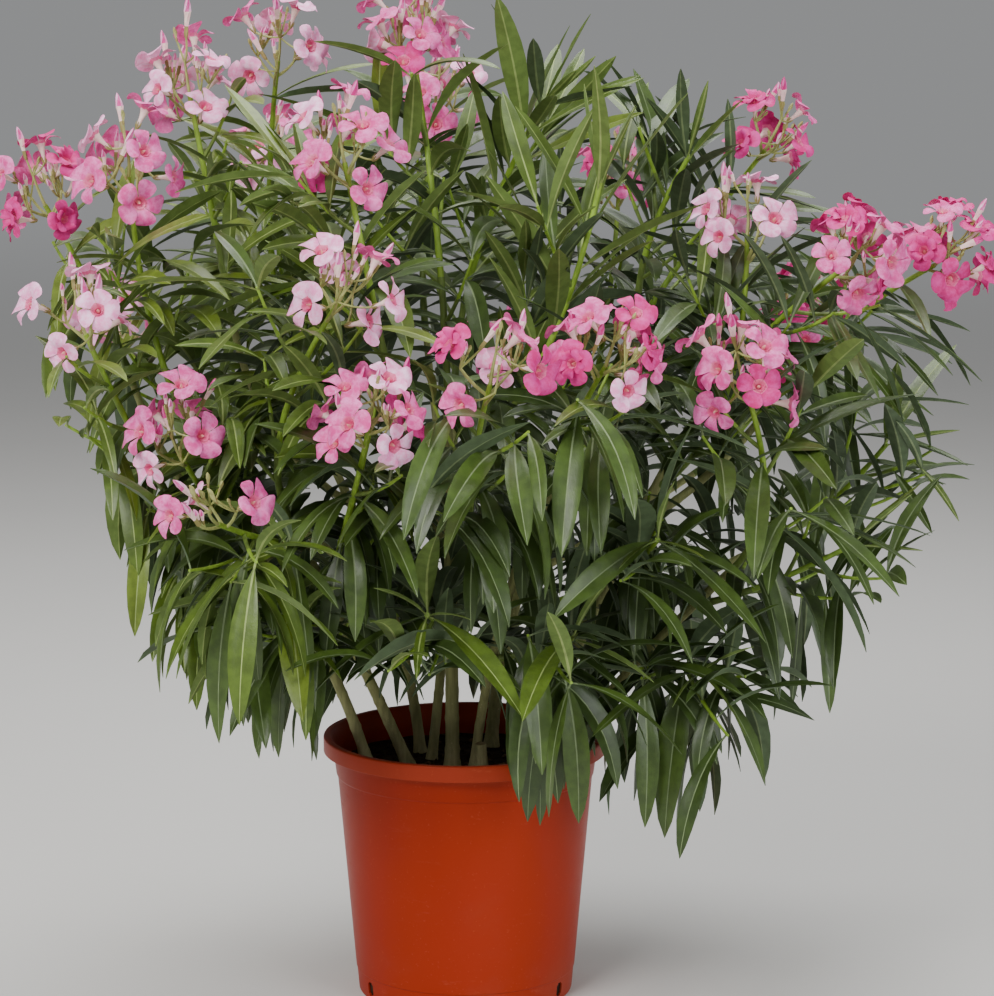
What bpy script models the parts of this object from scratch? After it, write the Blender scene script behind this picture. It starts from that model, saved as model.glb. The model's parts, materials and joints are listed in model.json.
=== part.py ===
"""A potted oleander: a clump of nine canes in a tapered nursery pot, with leafy, flowering shoots.

Metres, +Z up. The origin is the middle of the pot's flat underside, and the front is toward -Y.
"""

import math
import random

import bmesh
import bpy
import numpy as np
from mathutils import Quaternion, Vector
from mathutils.bvhtree import BVHTree

GAP = 0.0003
SHARP_ANGLE = math.radians(40)
UP = Vector((0, 0, 1))
DOWN = Vector((0, 0, -1))

# The pot: a tapered wall with a turned-out lip, a step under it and another at the foot.
POT_HEIGHT = 0.240
LIP_RADIUS = 0.130
LIP_DROP = 0.0145
LIP_WALL = 0.0022
LIP_THICKNESS = 0.0062
ROUNDING = 0.0016
TOP_RADIUS = 0.1190
STEP_Z = 0.2036
STEP_DEPTH = 0.0012
FOOT_Z = 0.022
FOOT_RADIUS = 0.0985
FOOT_STEP = 0.0007
WALL = 0.0018
FLOOR = 0.0030
POT_STEPS = 32
SLOTS = 6
SLOT_WIDTH = 0.009
SLOT_TOP = 0.018
SLOT_DEPTH = 0.010

# The compost that fills the pot, and the flat cut where every cane leaves it.
SOIL_TOP = 0.213
SOIL_STEPS = 32
SOIL_FACET = 0.0007

# The flare of a cane's foot.
FLARE = 1.30
FLARE_HEIGHT = 0.022
BELOW_SOIL = 0.020
STEM_SHARES = (0.0, 0.08, 0.30, 0.54, 0.77, 1.0)
STEM_BEND = 0.45
BOUGH_POINTS = 5
BOUGH_BEND = 0.5

# How much of a level, an upward and an outward direction a new limb sets out with.
BOUGH_AIM = (0.75, 0.35, 0.5)
SHOOT_AIM = (0.8, 0.2, 0.5)

# The crown's reach: every leaf and flower stays inside it.
REACH_LEFT = -0.445
REACH_RIGHT = 0.484
REACH_FRONT = -0.425
REACH_BACK = 0.455
REACH_TOP = 0.925
REACH_LOW = 0.155

# The crown's skirt: the lowest that a leaf hangs at each distance from the middle, on the left
# and on the right. The opening over the pot's mouth, where the canes show. The dome over the
# crown, which leaves stay under.
SKIRT_RADII = (0.14, 0.20, 0.25, 0.29, 0.325, 0.35, 0.39, 0.43, 0.48)
SKIRT_LEFT = (0.245, 0.250, 0.268, 0.295, 0.390, 0.470, 0.545, 0.600, 0.640)
SKIRT_RIGHT = (0.155, 0.162, 0.188, 0.225, 0.275, 0.335, 0.385, 0.425, 0.465)
SKIRT_TURN = 0.75
SKIRT_DEPTH = 0.6
OPENING_SIDES = (-0.150, 0.040)
OPENING_BACK = 0.10
OPENING_DEPTHS = (0.05, 0.20)
OPENING_LOWS = (0.268, 0.338)
DOME_RADII = (0.20, 0.28, 0.34, 0.40, 0.48)
DOME_HIGHS = (0.930, 0.870, 0.790, 0.710, 0.610)

# A leaf: flat above with a keel below, bent where it is widest.
LEAF_LENGTH = (0.125, 0.165)
LEAF_HALF_WIDTH = 0.0180
LEAF_KEEL = 0.0026
BEND_SHARE = 0.42
YOUNG_ANGLE = math.radians(26)
OLD_ANGLE = math.radians(98)
YOUNG_SAG = math.radians(8)
OLD_SAG = math.radians(68)
AGE_ALONG_SHOOT = 0.62
WHORLS = (0.14, 0.32, 0.50, 0.67, 0.84, 0.97)
OPENED = 0.20
TWIG_SHARES = (0.34, 0.58)
TWIG_LENGTH = (0.065, 0.095)
TWIG_ANGLE = math.radians(48)
TWIG_RADII = (0.0024, 0.0016)
ROOT_DEPTH = 0.0006
ROOT_STEP = 0.004
ROLL = 0.7
AGE_SPREAD = 0.12
TRIES = 15
SHORTENING = 0.5
PEDUNCLE_SHARE = 0.25

# A flower: a hollow-faced funnel with five corners, on a narrow tube.
PETALS = 5
FLOWER_RADIUS = 0.0205
FLOWER_CUP = 0.006
FLOWER_TUBE = (0.030, 0.052)
CYME_LENGTH = 0.030
CYME_ROOM = 0.038
PEDUNCLE = 0.060
CYME_ANGLE = math.radians(82)
GOLDEN_ANGLE = 2.4

# Shoots: the radius at the foot and at the tip, and the clear band between two shoots' spaces.
SHOOT_RADII = (0.0032, 0.0019)
SHOOT_POINTS = 4
CURVE_SHARE = 0.42
SPACE_MARGIN = 0.0018
LIMB_MARGIN = 0.0012
POT_MARGIN = 0.004
SITE_STEPS = 14
FIRST_SEED = 100

BARK = (0.115, 0.100, 0.048, 1)
TERRACOTTA = (0.360, 0.040, 0.010, 1)
COMPOST = (0.012, 0.007, 0.004, 1)
LEAF_GREEN = (0.035, 0.070, 0.018, 1)
SHOOT_GREEN = (0.110, 0.180, 0.020, 1)
PETAL_PINK = (0.640, 0.200, 0.330, 1)

# Canes: foot X and Y on the compost, lean at the foot (X and Y for each metre up),
# tip X, Y and Z, and the radius above the flare and at the tip.
STEMS = {
    "stem_1": ((-0.088, -0.018), (-0.28, -0.02), (-0.215, -0.030, 0.470), 0.0052, 0.0036),
    "stem_2": ((-0.052, -0.012), (-0.40, -0.20), (-0.150, -0.130, 0.460), 0.0055, 0.0038),
    "stem_3": ((-0.042, 0.034), (-0.08, 0.10), (-0.140, 0.120, 0.500), 0.0052, 0.0038),
    "stem_4": ((-0.031, 0.006), (0.12, 0.16), (-0.010, 0.110, 0.550), 0.0046, 0.0036),
    "stem_5": ((-0.0115, -0.020), (0.00, 0.00), (-0.015, -0.035, 0.560), 0.0066, 0.0042),
    "stem_6": ((0.0085, -0.024), (0.10, -0.12), (0.060, -0.130, 0.460), 0.0045, 0.0036),
    "stem_7": ((0.055, 0.000), (0.40, 0.00), (0.190, 0.000, 0.500), 0.0078, 0.0046),
    "stem_8": ((0.084, 0.010), (0.70, -0.10), (0.235, -0.100, 0.410), 0.0050, 0.0036),
    "stem_9": ((0.024, 0.060), (0.05, 0.20), (0.110, 0.160, 0.500), 0.0062, 0.0042),
}

# Boughs: the cane each springs from, how far up it, the bough's tip, and its radius at both ends.
BOUGHS = {
    "bough_01": ("stem_1", 0.72, (-0.300, 0.010, 0.560), 0.0037, 0.0031),
    "bough_02": ("stem_1", 0.52, (-0.255, -0.100, 0.470), 0.0037, 0.0031),
    "bough_03": ("stem_3", 0.80, (-0.215, 0.060, 0.620), 0.0037, 0.0031),
    "bough_04": ("stem_5", 0.62, (-0.060, -0.120, 0.560), 0.0040, 0.0032),
    "bough_05": ("stem_6", 0.66, (0.015, -0.190, 0.450), 0.0036, 0.0031),
    "bough_06": ("stem_7", 0.78, (0.290, 0.050, 0.550), 0.0042, 0.0032),
    "bough_07": ("stem_7", 0.46, (0.290, 0.060, 0.410), 0.0042, 0.0032),
    "bough_08": ("stem_9", 0.74, (0.160, 0.095, 0.620), 0.0040, 0.0032),
    "bough_09": ("stem_4", 0.66, (-0.040, 0.215, 0.590), 0.0036, 0.0031),
    "bough_10": ("stem_3", 0.55, (-0.235, 0.160, 0.470), 0.0038, 0.0031),
    "bough_11": ("stem_9", 0.55, (0.220, 0.200, 0.450), 0.0040, 0.0032),
}

# Masses of foliage: the limb that carries each, how far up it (1 is its tip), the shoot's tip,
# the age of its top leaves from 0 (young, upright) to 1 (old, hanging), and its flowers.
MASSES = {
    "foliage_01": ("bough_01", 1, (-0.372, -0.020, 0.725), 0.25, 5),
    "foliage_02": ("stem_1", 1, (-0.288, -0.100, 0.755), 0.20, 5),
    "foliage_03": ("bough_03", 1, (-0.248, 0.040, 0.820), 0.15, 5),
    "foliage_04": ("stem_3", 1, (-0.171, 0.085, 0.850), 0.15, 4),
    "foliage_05": ("stem_5", 1, (-0.046, 0.000, 0.865), 0.10, 7),
    "foliage_06": ("bough_04", 1, (-0.099, -0.160, 0.770), 0.15, 5),
    "foliage_07": ("stem_4", 1, (0.072, 0.030, 0.815), 0.00, 0),
    "foliage_08": ("stem_5", 0.82, (0.118, -0.100, 0.750), 0.00, 0),
    "foliage_09": ("bough_08", 1, (0.205, 0.060, 0.765), 0.05, 0),
    "foliage_10": ("stem_9", 1, (0.282, 0.160, 0.765), 0.15, 4),
    "foliage_11": ("stem_7", 0.90, (0.250, -0.040, 0.700), 0.15, 3),
    "foliage_12": ("stem_7", 1, (0.332, -0.115, 0.680), 0.25, 7),
    "foliage_13": ("bough_06", 1, (0.422, 0.000, 0.670), 0.30, 7),
    "foliage_14": ("bough_02", 1, (-0.320, -0.160, 0.625), 0.25, 4),
    "foliage_15": ("stem_2", 1, (-0.101, -0.240, 0.660), 0.25, 4),
    "foliage_16": ("stem_2", 0.74, (-0.075, -0.285, 0.560), 0.35, 6),
    "foliage_17": ("bough_05", 1, (0.024, -0.300, 0.600), 0.30, 3),
    "foliage_18": ("stem_6", 1, (0.118, -0.265, 0.610), 0.25, 7),
    "foliage_19": ("stem_8", 1, (0.235, -0.215, 0.590), 0.25, 7),
    "foliage_20": ("stem_1", 0.84, (-0.240, -0.190, 0.530), 0.35, 4),
    "foliage_21": ("stem_2", 0.90, (-0.200, -0.270, 0.480), 0.40, 2),
    "foliage_22": ("bough_07", 1, (0.390, 0.060, 0.500), 0.35, 0),
    "foliage_23": ("stem_8", 0.82, (0.344, -0.080, 0.430), 0.45, 0),
    "foliage_24": ("stem_1", 0.48, (-0.240, 0.030, 0.415), 0.55, 0),
    "foliage_25": ("stem_2", 0.50, (-0.150, -0.175, 0.400), 0.50, 0),
    "foliage_26": ("stem_5", 0.40, (-0.030, -0.200, 0.390), 0.50, 0),
    "foliage_27": ("stem_6", 0.46, (0.095, -0.175, 0.365), 0.45, 0),
    "foliage_28": ("stem_8", 0.56, (0.206, -0.150, 0.330), 0.55, 0),
    "foliage_29": ("stem_3", 0.90, (-0.190, 0.260, 0.740), 0.20, 5),
    "foliage_30": ("bough_09", 1, (-0.030, 0.260, 0.800), 0.15, 5),
    "foliage_31": ("stem_9", 0.90, (0.150, 0.300, 0.720), 0.20, 5),
    "foliage_32": ("bough_10", 1, (-0.340, 0.200, 0.590), 0.30, 4),
    "foliage_33": ("stem_4", 0.50, (0.035, 0.350, 0.540), 0.35, 4),
    "foliage_34": ("bough_11", 1, (0.330, 0.240, 0.590), 0.30, 5),
    "foliage_35": ("stem_3", 0.38, (-0.150, 0.250, 0.370), 0.55, 0),
    "foliage_36": ("stem_9", 0.40, (0.170, 0.260, 0.350), 0.55, 0),
    "foliage_37": ("stem_7", 0.62, (0.165, -0.200, 0.455), 0.50, 0),
}


def blend(low, high, share):
    return low + (high - low) * share


class Path:
    """A smooth limb or shoot, bent once: a start, a control point and an end."""

    def __init__(self, start, control, end):
        self.start = Vector(start)
        self.control = Vector(control)
        self.end = Vector(end)

    def at(self, share):
        near = self.start.lerp(self.control, share)
        return near.lerp(self.control.lerp(self.end, share), share)

    def direction(self, share):
        first = self.control - self.start
        second = self.end - self.control
        return first.lerp(second, share).normalized()

    def points(self, count, low=0.0, high=1.0):
        return [self.at(blend(low, high, index / (count - 1))) for index in range(count)]


def stretch_at(rings, share):
    """The middle and the radius of a straight stretch of a limb's skin, and its direction."""
    for (low, start, radius), (high, end, tip_radius) in zip(rings, rings[1:]):
        if share <= high:
            part = (share - low) / (high - low)
            middle = start.lerp(end, part)
            return middle, (end - start).normalized(), blend(radius, tip_radius, part)


def even_rings(path, count, radii):
    """Rings of a skin at even shares of a path, tapering from one radius to the other."""
    shares = [index / (count - 1) for index in range(count)]
    return [(share, path.at(share), blend(*radii, share)) for share in shares]


def clear_scene():
    for thing in list(bpy.data.objects):
        bpy.data.objects.remove(thing)


def new_collection(name, hidden=False):
    collection = bpy.data.collections.new(name)
    collection.hide_render = hidden
    bpy.context.scene.collection.children.link(collection)
    return collection


def new_material(name, colour, roughness):
    material = bpy.data.materials.new(name)
    material.use_nodes = True
    shader = material.node_tree.nodes["Principled BSDF"]
    shader.inputs["Base Color"].default_value = colour
    shader.inputs["Roughness"].default_value = roughness
    shader.inputs["Metallic"].default_value = 0.0
    return material


def add_object(name, mesh, collection, material=None):
    thing = bpy.data.objects.new(name, mesh)
    collection.objects.link(thing)
    if material:
        mesh.materials.clear()
        mesh.materials.append(material)
    return thing


def mesh_from(bm, name):
    """The working mesh as triangles that face out."""
    bmesh.ops.recalc_face_normals(bm, faces=bm.faces)
    bmesh.ops.triangulate(bm, faces=bm.faces)
    mesh = bpy.data.meshes.new(name)
    bm.to_mesh(mesh)
    bm.free()
    return mesh


def tube_mesh(name, points, radii, resolution):
    """A round limb: a curve with a radius at each point, made a mesh with its caps welded."""
    curve = bpy.data.curves.new(name, "CURVE")
    curve.dimensions = "3D"
    curve.bevel_depth = 1.0
    curve.bevel_resolution = resolution
    curve.use_fill_caps = True
    spline = curve.splines.new("POLY")
    spline.points.add(len(points) - 1)
    for place, point, radius in zip(spline.points, points, radii):
        place.co = (*point, 1)
        place.radius = radius
    guide = bpy.data.objects.new(name, curve)
    bpy.context.scene.collection.objects.link(guide)
    graph = bpy.context.evaluated_depsgraph_get()
    mesh = bpy.data.meshes.new_from_object(guide.evaluated_get(graph))
    bpy.data.objects.remove(guide)
    bpy.data.curves.remove(curve)
    bm = bmesh.new()
    bm.from_mesh(mesh)
    bpy.data.meshes.remove(mesh)
    bmesh.ops.remove_doubles(bm, verts=bm.verts, dist=1e-6)
    return mesh_from(bm, name)


def as_cutter(thing):
    thing.hide_render = True
    thing.display_type = "WIRE"


def skin_mesh(name, rings, extra, resolution):
    """The skin through a limb's rings, made thicker by the extra radius."""
    points = [middle for _, middle, _ in rings]
    radii = [radius + extra for _, _, radius in rings]
    return tube_mesh(name, points, radii, resolution)


def boolean(thing, operation, collection=None, other=None):
    modifier = thing.modifiers.new(operation.title(), "BOOLEAN")
    modifier.operation = operation
    modifier.material_mode = "TRANSFER"
    if collection:
        modifier.operand_type = "COLLECTION"
        modifier.collection = collection
    else:
        modifier.object = other
    with bpy.context.temp_override(object=thing, active_object=thing):
        bpy.ops.object.modifier_apply(modifier=modifier.name)


def largest_piece(mesh):
    """Drops loose scraps and the skins of sealed hollows."""
    bm = bmesh.new()
    bm.from_mesh(mesh)
    bmesh.ops.triangulate(bm, faces=bm.faces)
    left = set(bm.verts)
    pieces = []
    while left:
        edge = [left.pop()]
        piece = set(edge)
        while edge:
            near = {link.other_vert(edge[-1]) for link in edge[-1].link_edges}
            edge.pop()
            edge.extend(near - piece)
            piece |= near
        left -= piece
        pieces.append(piece)
    pieces.sort(key=len)
    for piece in pieces[:-1]:
        bmesh.ops.delete(bm, geom=list(piece), context="VERTS")
    bm.to_mesh(mesh)
    bm.free()


def turned_profile(profile, name, steps):
    """A profile in X and Z, turned round the Z axis by a Screw modifier."""
    mesh = bpy.data.meshes.new(name)
    edges = [(index, index + 1) for index in range(len(profile) - 1)]
    mesh.from_pydata([(x, 0, z) for x, z in profile], edges, [])
    thing = bpy.data.objects.new(name, mesh)
    screw = thing.modifiers.new("Screw", "SCREW")
    screw.steps = steps
    screw.render_steps = steps
    screw.use_merge_vertices = True
    screw.merge_threshold = 0.00001
    return thing


def outer_radius(z):
    """The outside of the pot's wall at a height, above the step at its foot."""
    radius = blend(FOOT_RADIUS + FOOT_STEP, TOP_RADIUS, z / (POT_HEIGHT - LIP_DROP))
    return radius + (STEP_DEPTH if z > STEP_Z else 0)


def inner_radius(z):
    return blend(FOOT_RADIUS, TOP_RADIUS, z / (POT_HEIGHT - LIP_DROP)) - WALL


def build_pot(parts, material):
    """The pot's skin runs from the underside out, up the wall, over the lip and down inside."""
    lip_low = POT_HEIGHT - LIP_DROP
    inside = [
        (0, FLOOR),
        (inner_radius(FLOOR), FLOOR),
        (inner_radius(lip_low), lip_low),
        (LIP_RADIUS - LIP_THICKNESS, POT_HEIGHT),
    ]
    outside = [
        (LIP_RADIUS - ROUNDING, POT_HEIGHT),
        (LIP_RADIUS, POT_HEIGHT - ROUNDING),
        (LIP_RADIUS, lip_low),
        (LIP_RADIUS - LIP_WALL, lip_low),
        (outer_radius(lip_low) + LIP_WALL, POT_HEIGHT - 2 * LIP_WALL),
        (outer_radius(STEP_Z + STEP_DEPTH), STEP_Z + STEP_DEPTH),
        (outer_radius(STEP_Z), STEP_Z),
        (outer_radius(FOOT_Z), FOOT_Z + STEP_DEPTH / 2),
        (outer_radius(FOOT_Z) - FOOT_STEP, FOOT_Z),
        (FOOT_RADIUS, ROUNDING),
        (FOOT_RADIUS - ROUNDING, 0),
        (0, 0),
    ]
    turned = turned_profile(inside + outside, "pot", POT_STEPS)
    parts.objects.link(turned)
    with bpy.context.temp_override(object=turned, active_object=turned):
        bpy.ops.object.modifier_apply(modifier="Screw")
    turned.data.materials.append(material)

    slots = new_collection("drain_slots", hidden=True)
    low = FLOOR + ROUNDING
    for index in range(SLOTS):
        angle = 2 * math.pi * (index + 0.5) / SLOTS
        bpy.ops.mesh.primitive_cube_add(size=1)
        slot = bpy.context.object
        slot.name = f"drain_slot_{index + 1}"
        slot.scale = (SLOT_DEPTH, SLOT_WIDTH, SLOT_TOP - low)
        slot.rotation_euler = (0, 0, angle)
        place = (FOOT_RADIUS * math.cos(angle), FOOT_RADIUS * math.sin(angle))
        slot.location = (*place, (SLOT_TOP + low) / 2)
        for holder in list(slot.users_collection):
            holder.objects.unlink(slot)
        slots.objects.link(slot)
    boolean(turned, "DIFFERENCE", collection=slots)
    for slot in list(slots.objects):
        bpy.data.objects.remove(slot)
    bpy.data.collections.remove(slots)
    turned.data.shade_smooth()
    turned.data.set_sharp_from_angle(angle=SHARP_ANGLE)
    return turned


def build_soil(parts, material):
    """The compost follows the inside of the pot with a small gap, under a flat top."""
    low = FLOOR + GAP
    clear = GAP + SOIL_FACET
    profile = [
        (0, SOIL_TOP),
        (inner_radius(SOIL_TOP) - clear, SOIL_TOP),
        (inner_radius(FOOT_Z) - clear, FOOT_Z),
        (inner_radius(FOOT_Z) - clear - 2 * ROUNDING, low),
        (0, low),
    ]
    thing = turned_profile(profile, "soil", SOIL_STEPS)
    parts.objects.link(thing)
    thing.data.materials.append(material)
    return thing


def stem_path(foot, lean, tip):
    """A cane starts below the compost, leans as it leaves it, and bends on to its tip."""
    start = Vector((foot[0], foot[1], SOIL_TOP))
    slope = Vector((lean[0], lean[1], 1))
    control = start + slope * ((tip[2] - SOIL_TOP) * STEM_BEND)
    return Path(start, control, tip)


def stem_rings(path, radius, tip_radius):
    """The rings of a cane's skin, with its flare and its taper."""
    rings = []
    for share in STEM_SHARES:
        middle = path.at(share)
        height = middle.z - SOIL_TOP
        flare = 1 + (FLARE - 1) * max(0, 1 - height / FLARE_HEIGHT) ** 2
        rings.append((share, middle, blend(radius, tip_radius, share) * flare))
    return rings


def stem_mesh(name, rings, extra):
    """The cane's skin, with the stretch below the compost that the flat cut takes off."""
    (_, foot, radius), (_, second, _) = rings[:2]
    below = foot - (second - foot).normalized() * BELOW_SOIL
    return skin_mesh(name, [(0, below, radius), *rings], extra, 1)


def setting_out(start, tip, along, shares):
    """The direction in which a side limb leaves: part level, part along its carrier, part to its tip."""
    outward = (tip - start).normalized()
    level = Vector((outward.x, outward.y, 0)).normalized()
    return (level * shares[0] + along * shares[1] + outward * shares[2]).normalized()


def bough_path(start, direction, tip):
    """A bough leaves its cane at a slant and curves up to its tip."""
    tip = Vector(tip)
    reach = (tip - start).length
    aim = setting_out(start, tip, direction, BOUGH_AIM)
    return Path(start, start + aim * reach * BOUGH_BEND, tip)


def slant(direction, normal):
    """The sine of the angle between two directions."""
    return math.sqrt(max(0, 1 - direction.dot(normal) ** 2))


def shoot_path(base, axis, limb_radius, aim, tip):
    """A shoot's path, started where its cut end is just clear of the limb that carries it.

    A limb radius of 0 means a shoot that goes on from the limb's cut end.
    """
    reach = (tip - base).length
    out = axis if limb_radius == 0 else (aim - axis * aim.dot(axis)).normalized()
    away = limb_radius + GAP
    for _ in range(3):
        start = base + aim * (away / aim.dot(out))
        path = Path(start, start + aim * reach * CURVE_SHARE, tip)
        first = (path.points(SHOOT_POINTS)[1] - start).normalized()
        away = limb_radius + GAP + SHOOT_RADII[0] * slant(first, out)
    return path


class Crown:
    """The limbs, the shoots' paths and the space that each mass of foliage keeps to."""

    def __init__(self):
        self.limbs = {}
        self.rings = {}
        self.shoots = {}

    def add_limb(self, name, path, rings):
        """Notes a limb's path, and the rings of its skin: each one's share, middle and radius."""
        self.limbs[name] = path
        self.rings[name] = rings

    def add_shoot(self, name, limb, share, tip):
        base, axis, radius = stretch_at(self.rings[limb], share)
        tip = Vector(tip)
        if share == 1:
            self.shoots[name] = shoot_path(base, axis, 0, axis, tip)
            return
        aim = setting_out(base, tip, axis, SHOOT_AIM)
        self.shoots[name] = shoot_path(base, axis, radius, aim, tip)

    def settle(self):
        """Marks points along every shoot, which divide the crown into the masses' spaces."""
        sites = []
        owners = []
        for index, path in enumerate(self.shoots.values()):
            for point in path.points(SITE_STEPS, 0.0, 1.0):
                sites.append(point)
                owners.append(index)
            sites.append(path.end + path.direction(1) * CYME_LENGTH)
            owners.append(index)
        self.sites = np.array(sites)
        self.owners = np.array(owners)
        self.order = {name: index for index, name in enumerate(self.shoots)}
        cymes = [path for name, path in self.shoots.items() if MASSES[name][4]]
        self.cymes = np.array([path.end + path.direction(1) * CYME_LENGTH for path in cymes])

    def off_cymes(self, points):
        """Whether every point of a leaf leaves room round the flowers."""
        away = np.linalg.norm(np.array(points)[:, None, :] - self.cymes[None, :, :], axis=2)
        return bool((away > CYME_ROOM).all())

    def owns(self, name, points):
        """Whether every point is nearer to this shoot than to any other, and inside the reach."""
        points = np.array(points)
        low = np.array((REACH_LEFT, REACH_FRONT, REACH_LOW))
        high = np.array((REACH_RIGHT, REACH_BACK, REACH_TOP))
        if (points < low).any() or (points > high).any():
            return False
        away = np.linalg.norm(points[:, None, :] - self.sites[None, :, :], axis=2)
        mine = self.owners == self.order[name]
        own = away[:, mine].min(axis=1)
        other = away[:, ~mine].min(axis=1)
        return bool((other - own > 2 * SPACE_MARGIN).all())


def hangs_well(points):
    """Whether every point keeps above the crown's skirt, out of the opening and under the dome."""
    x, y, z = np.array(points).T
    away = np.hypot(x, SKIRT_DEPTH * y)
    leftward = np.clip(0.5 - SKIRT_TURN * x / (away + GAP), 0, 1)
    left = np.interp(away, SKIRT_RADII, SKIRT_LEFT)
    right = np.interp(away, SKIRT_RADII, SKIRT_RIGHT)
    low = np.interp(-y, OPENING_DEPTHS, OPENING_LOWS)
    across = (x > OPENING_SIDES[0]) & (x < OPENING_SIDES[1]) & (y < OPENING_BACK)
    dome = np.interp(away, DOME_RADII, DOME_HIGHS)
    return not ((z < blend(right, left, leftward)) | (across & (z < low)) | (z > dome)).any()


def clear_of_pot(points):
    """Whether every point is above the pot or out past its lip."""
    for point in points:
        low = point.z < POT_HEIGHT + POT_MARGIN
        if low and math.hypot(point.x, point.y) < LIP_RADIUS + POT_MARGIN:
            return False
    return True


def tree_of(bm):
    return BVHTree.FromBMesh(bm)


def two_poled(segments):
    """A primitive with a ring of corners between two poles."""
    bm = bmesh.new()
    bmesh.ops.create_uvsphere(bm, u_segments=segments, v_segments=2, radius=1)
    return bm


def lowered(direction, angle):
    """A direction turned down by an angle, at most to straight down."""
    axis = direction.cross(DOWN)
    if axis.length < 0.001:
        return direction
    return Quaternion(axis.normalized(), min(angle, direction.angle(DOWN))) @ direction


class Leaf:
    """Where a leaf runs: its root, its bend and its tip, and which way it faces."""

    def __init__(self, root, along, sag, length, roll):
        self.root = root
        self.bend = root + along * (length * BEND_SHARE)
        self.tip = self.bend + lowered(along, sag) * (length * (1 - BEND_SHARE))
        chord = (self.tip - self.root).normalized()
        side = chord.cross(UP)
        if side.length < 0.25:
            side = chord.cross(Vector((root.x, root.y, 0)).cross(UP)).cross(chord)
            side = side if side.length > 0.01 else chord.orthogonal()
        self.side = Quaternion(chord, roll) @ side.normalized()
        self.face = self.side.cross(chord).normalized()
        self.half_width = LEAF_HALF_WIDTH * length / LEAF_LENGTH[1]

    def samples(self):
        """Points over the blade, for the tests of the leaf's place."""
        points = []
        for share in (0.35, 0.7, 1.0):
            middle = self.root.lerp(self.bend, share)
            points += [middle, *self.edges(middle, share)]
        for share in (0.3, 0.6, 0.85, 1.0):
            middle = self.bend.lerp(self.tip, share)
            points += [middle, *self.edges(middle, 1 - share)]
        return points

    def edges(self, middle, width):
        across = self.side * self.half_width * width
        return middle + across, middle - across

    def solid(self):
        """Two edges and the keel lie at the bend, between the root and the tip."""
        bm = two_poled(3)
        for vert in bm.verts:
            if vert.co.z < -0.5:
                vert.co = self.root
            elif vert.co.z > 0.5:
                vert.co = self.tip
            elif abs(vert.co.x) < 0.1:
                vert.co = self.bend - self.face * LEAF_KEEL
            else:
                vert.co = self.bend + self.side * math.copysign(self.half_width, vert.co.x)
        return bm


def flower_solid(root, aim, spin):
    """A funnel with a corner for each petal, on a tube that narrows to its root."""
    bm = two_poled(PETALS)
    turn = aim.to_track_quat("Z", "Y")
    length = aim.length
    for vert in bm.verts:
        x, y, z = vert.co
        if z < -0.5:
            vert.co = root
        elif z > 0.5:
            vert.co = root + aim * ((length - FLOWER_CUP) / length)
        else:
            angle = math.atan2(y, x) + spin
            petal = Vector((math.cos(angle), math.sin(angle), 0)) * FLOWER_RADIUS
            vert.co = root + aim + turn @ petal
    return bm


def twig_solid(start, end, radius, tip_radius):
    """A straight three-sided twig."""
    bm = bmesh.new()
    reach = end - start
    bmesh.ops.create_cone(
        bm,
        cap_ends=True,
        segments=3,
        radius1=radius,
        radius2=tip_radius,
        depth=reach.length,
    )
    turn = reach.to_track_quat("Z", "Y")
    for vert in bm.verts:
        vert.co = start + reach / 2 + turn @ vert.co
    return bm


def spread(axis, angle, azimuth):
    """A direction at an angle from an axis, at an azimuth round it."""
    across = Quaternion(axis, azimuth) @ axis.orthogonal().normalized()
    return (axis * math.cos(angle) + across * math.sin(angle)).normalized()


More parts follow.
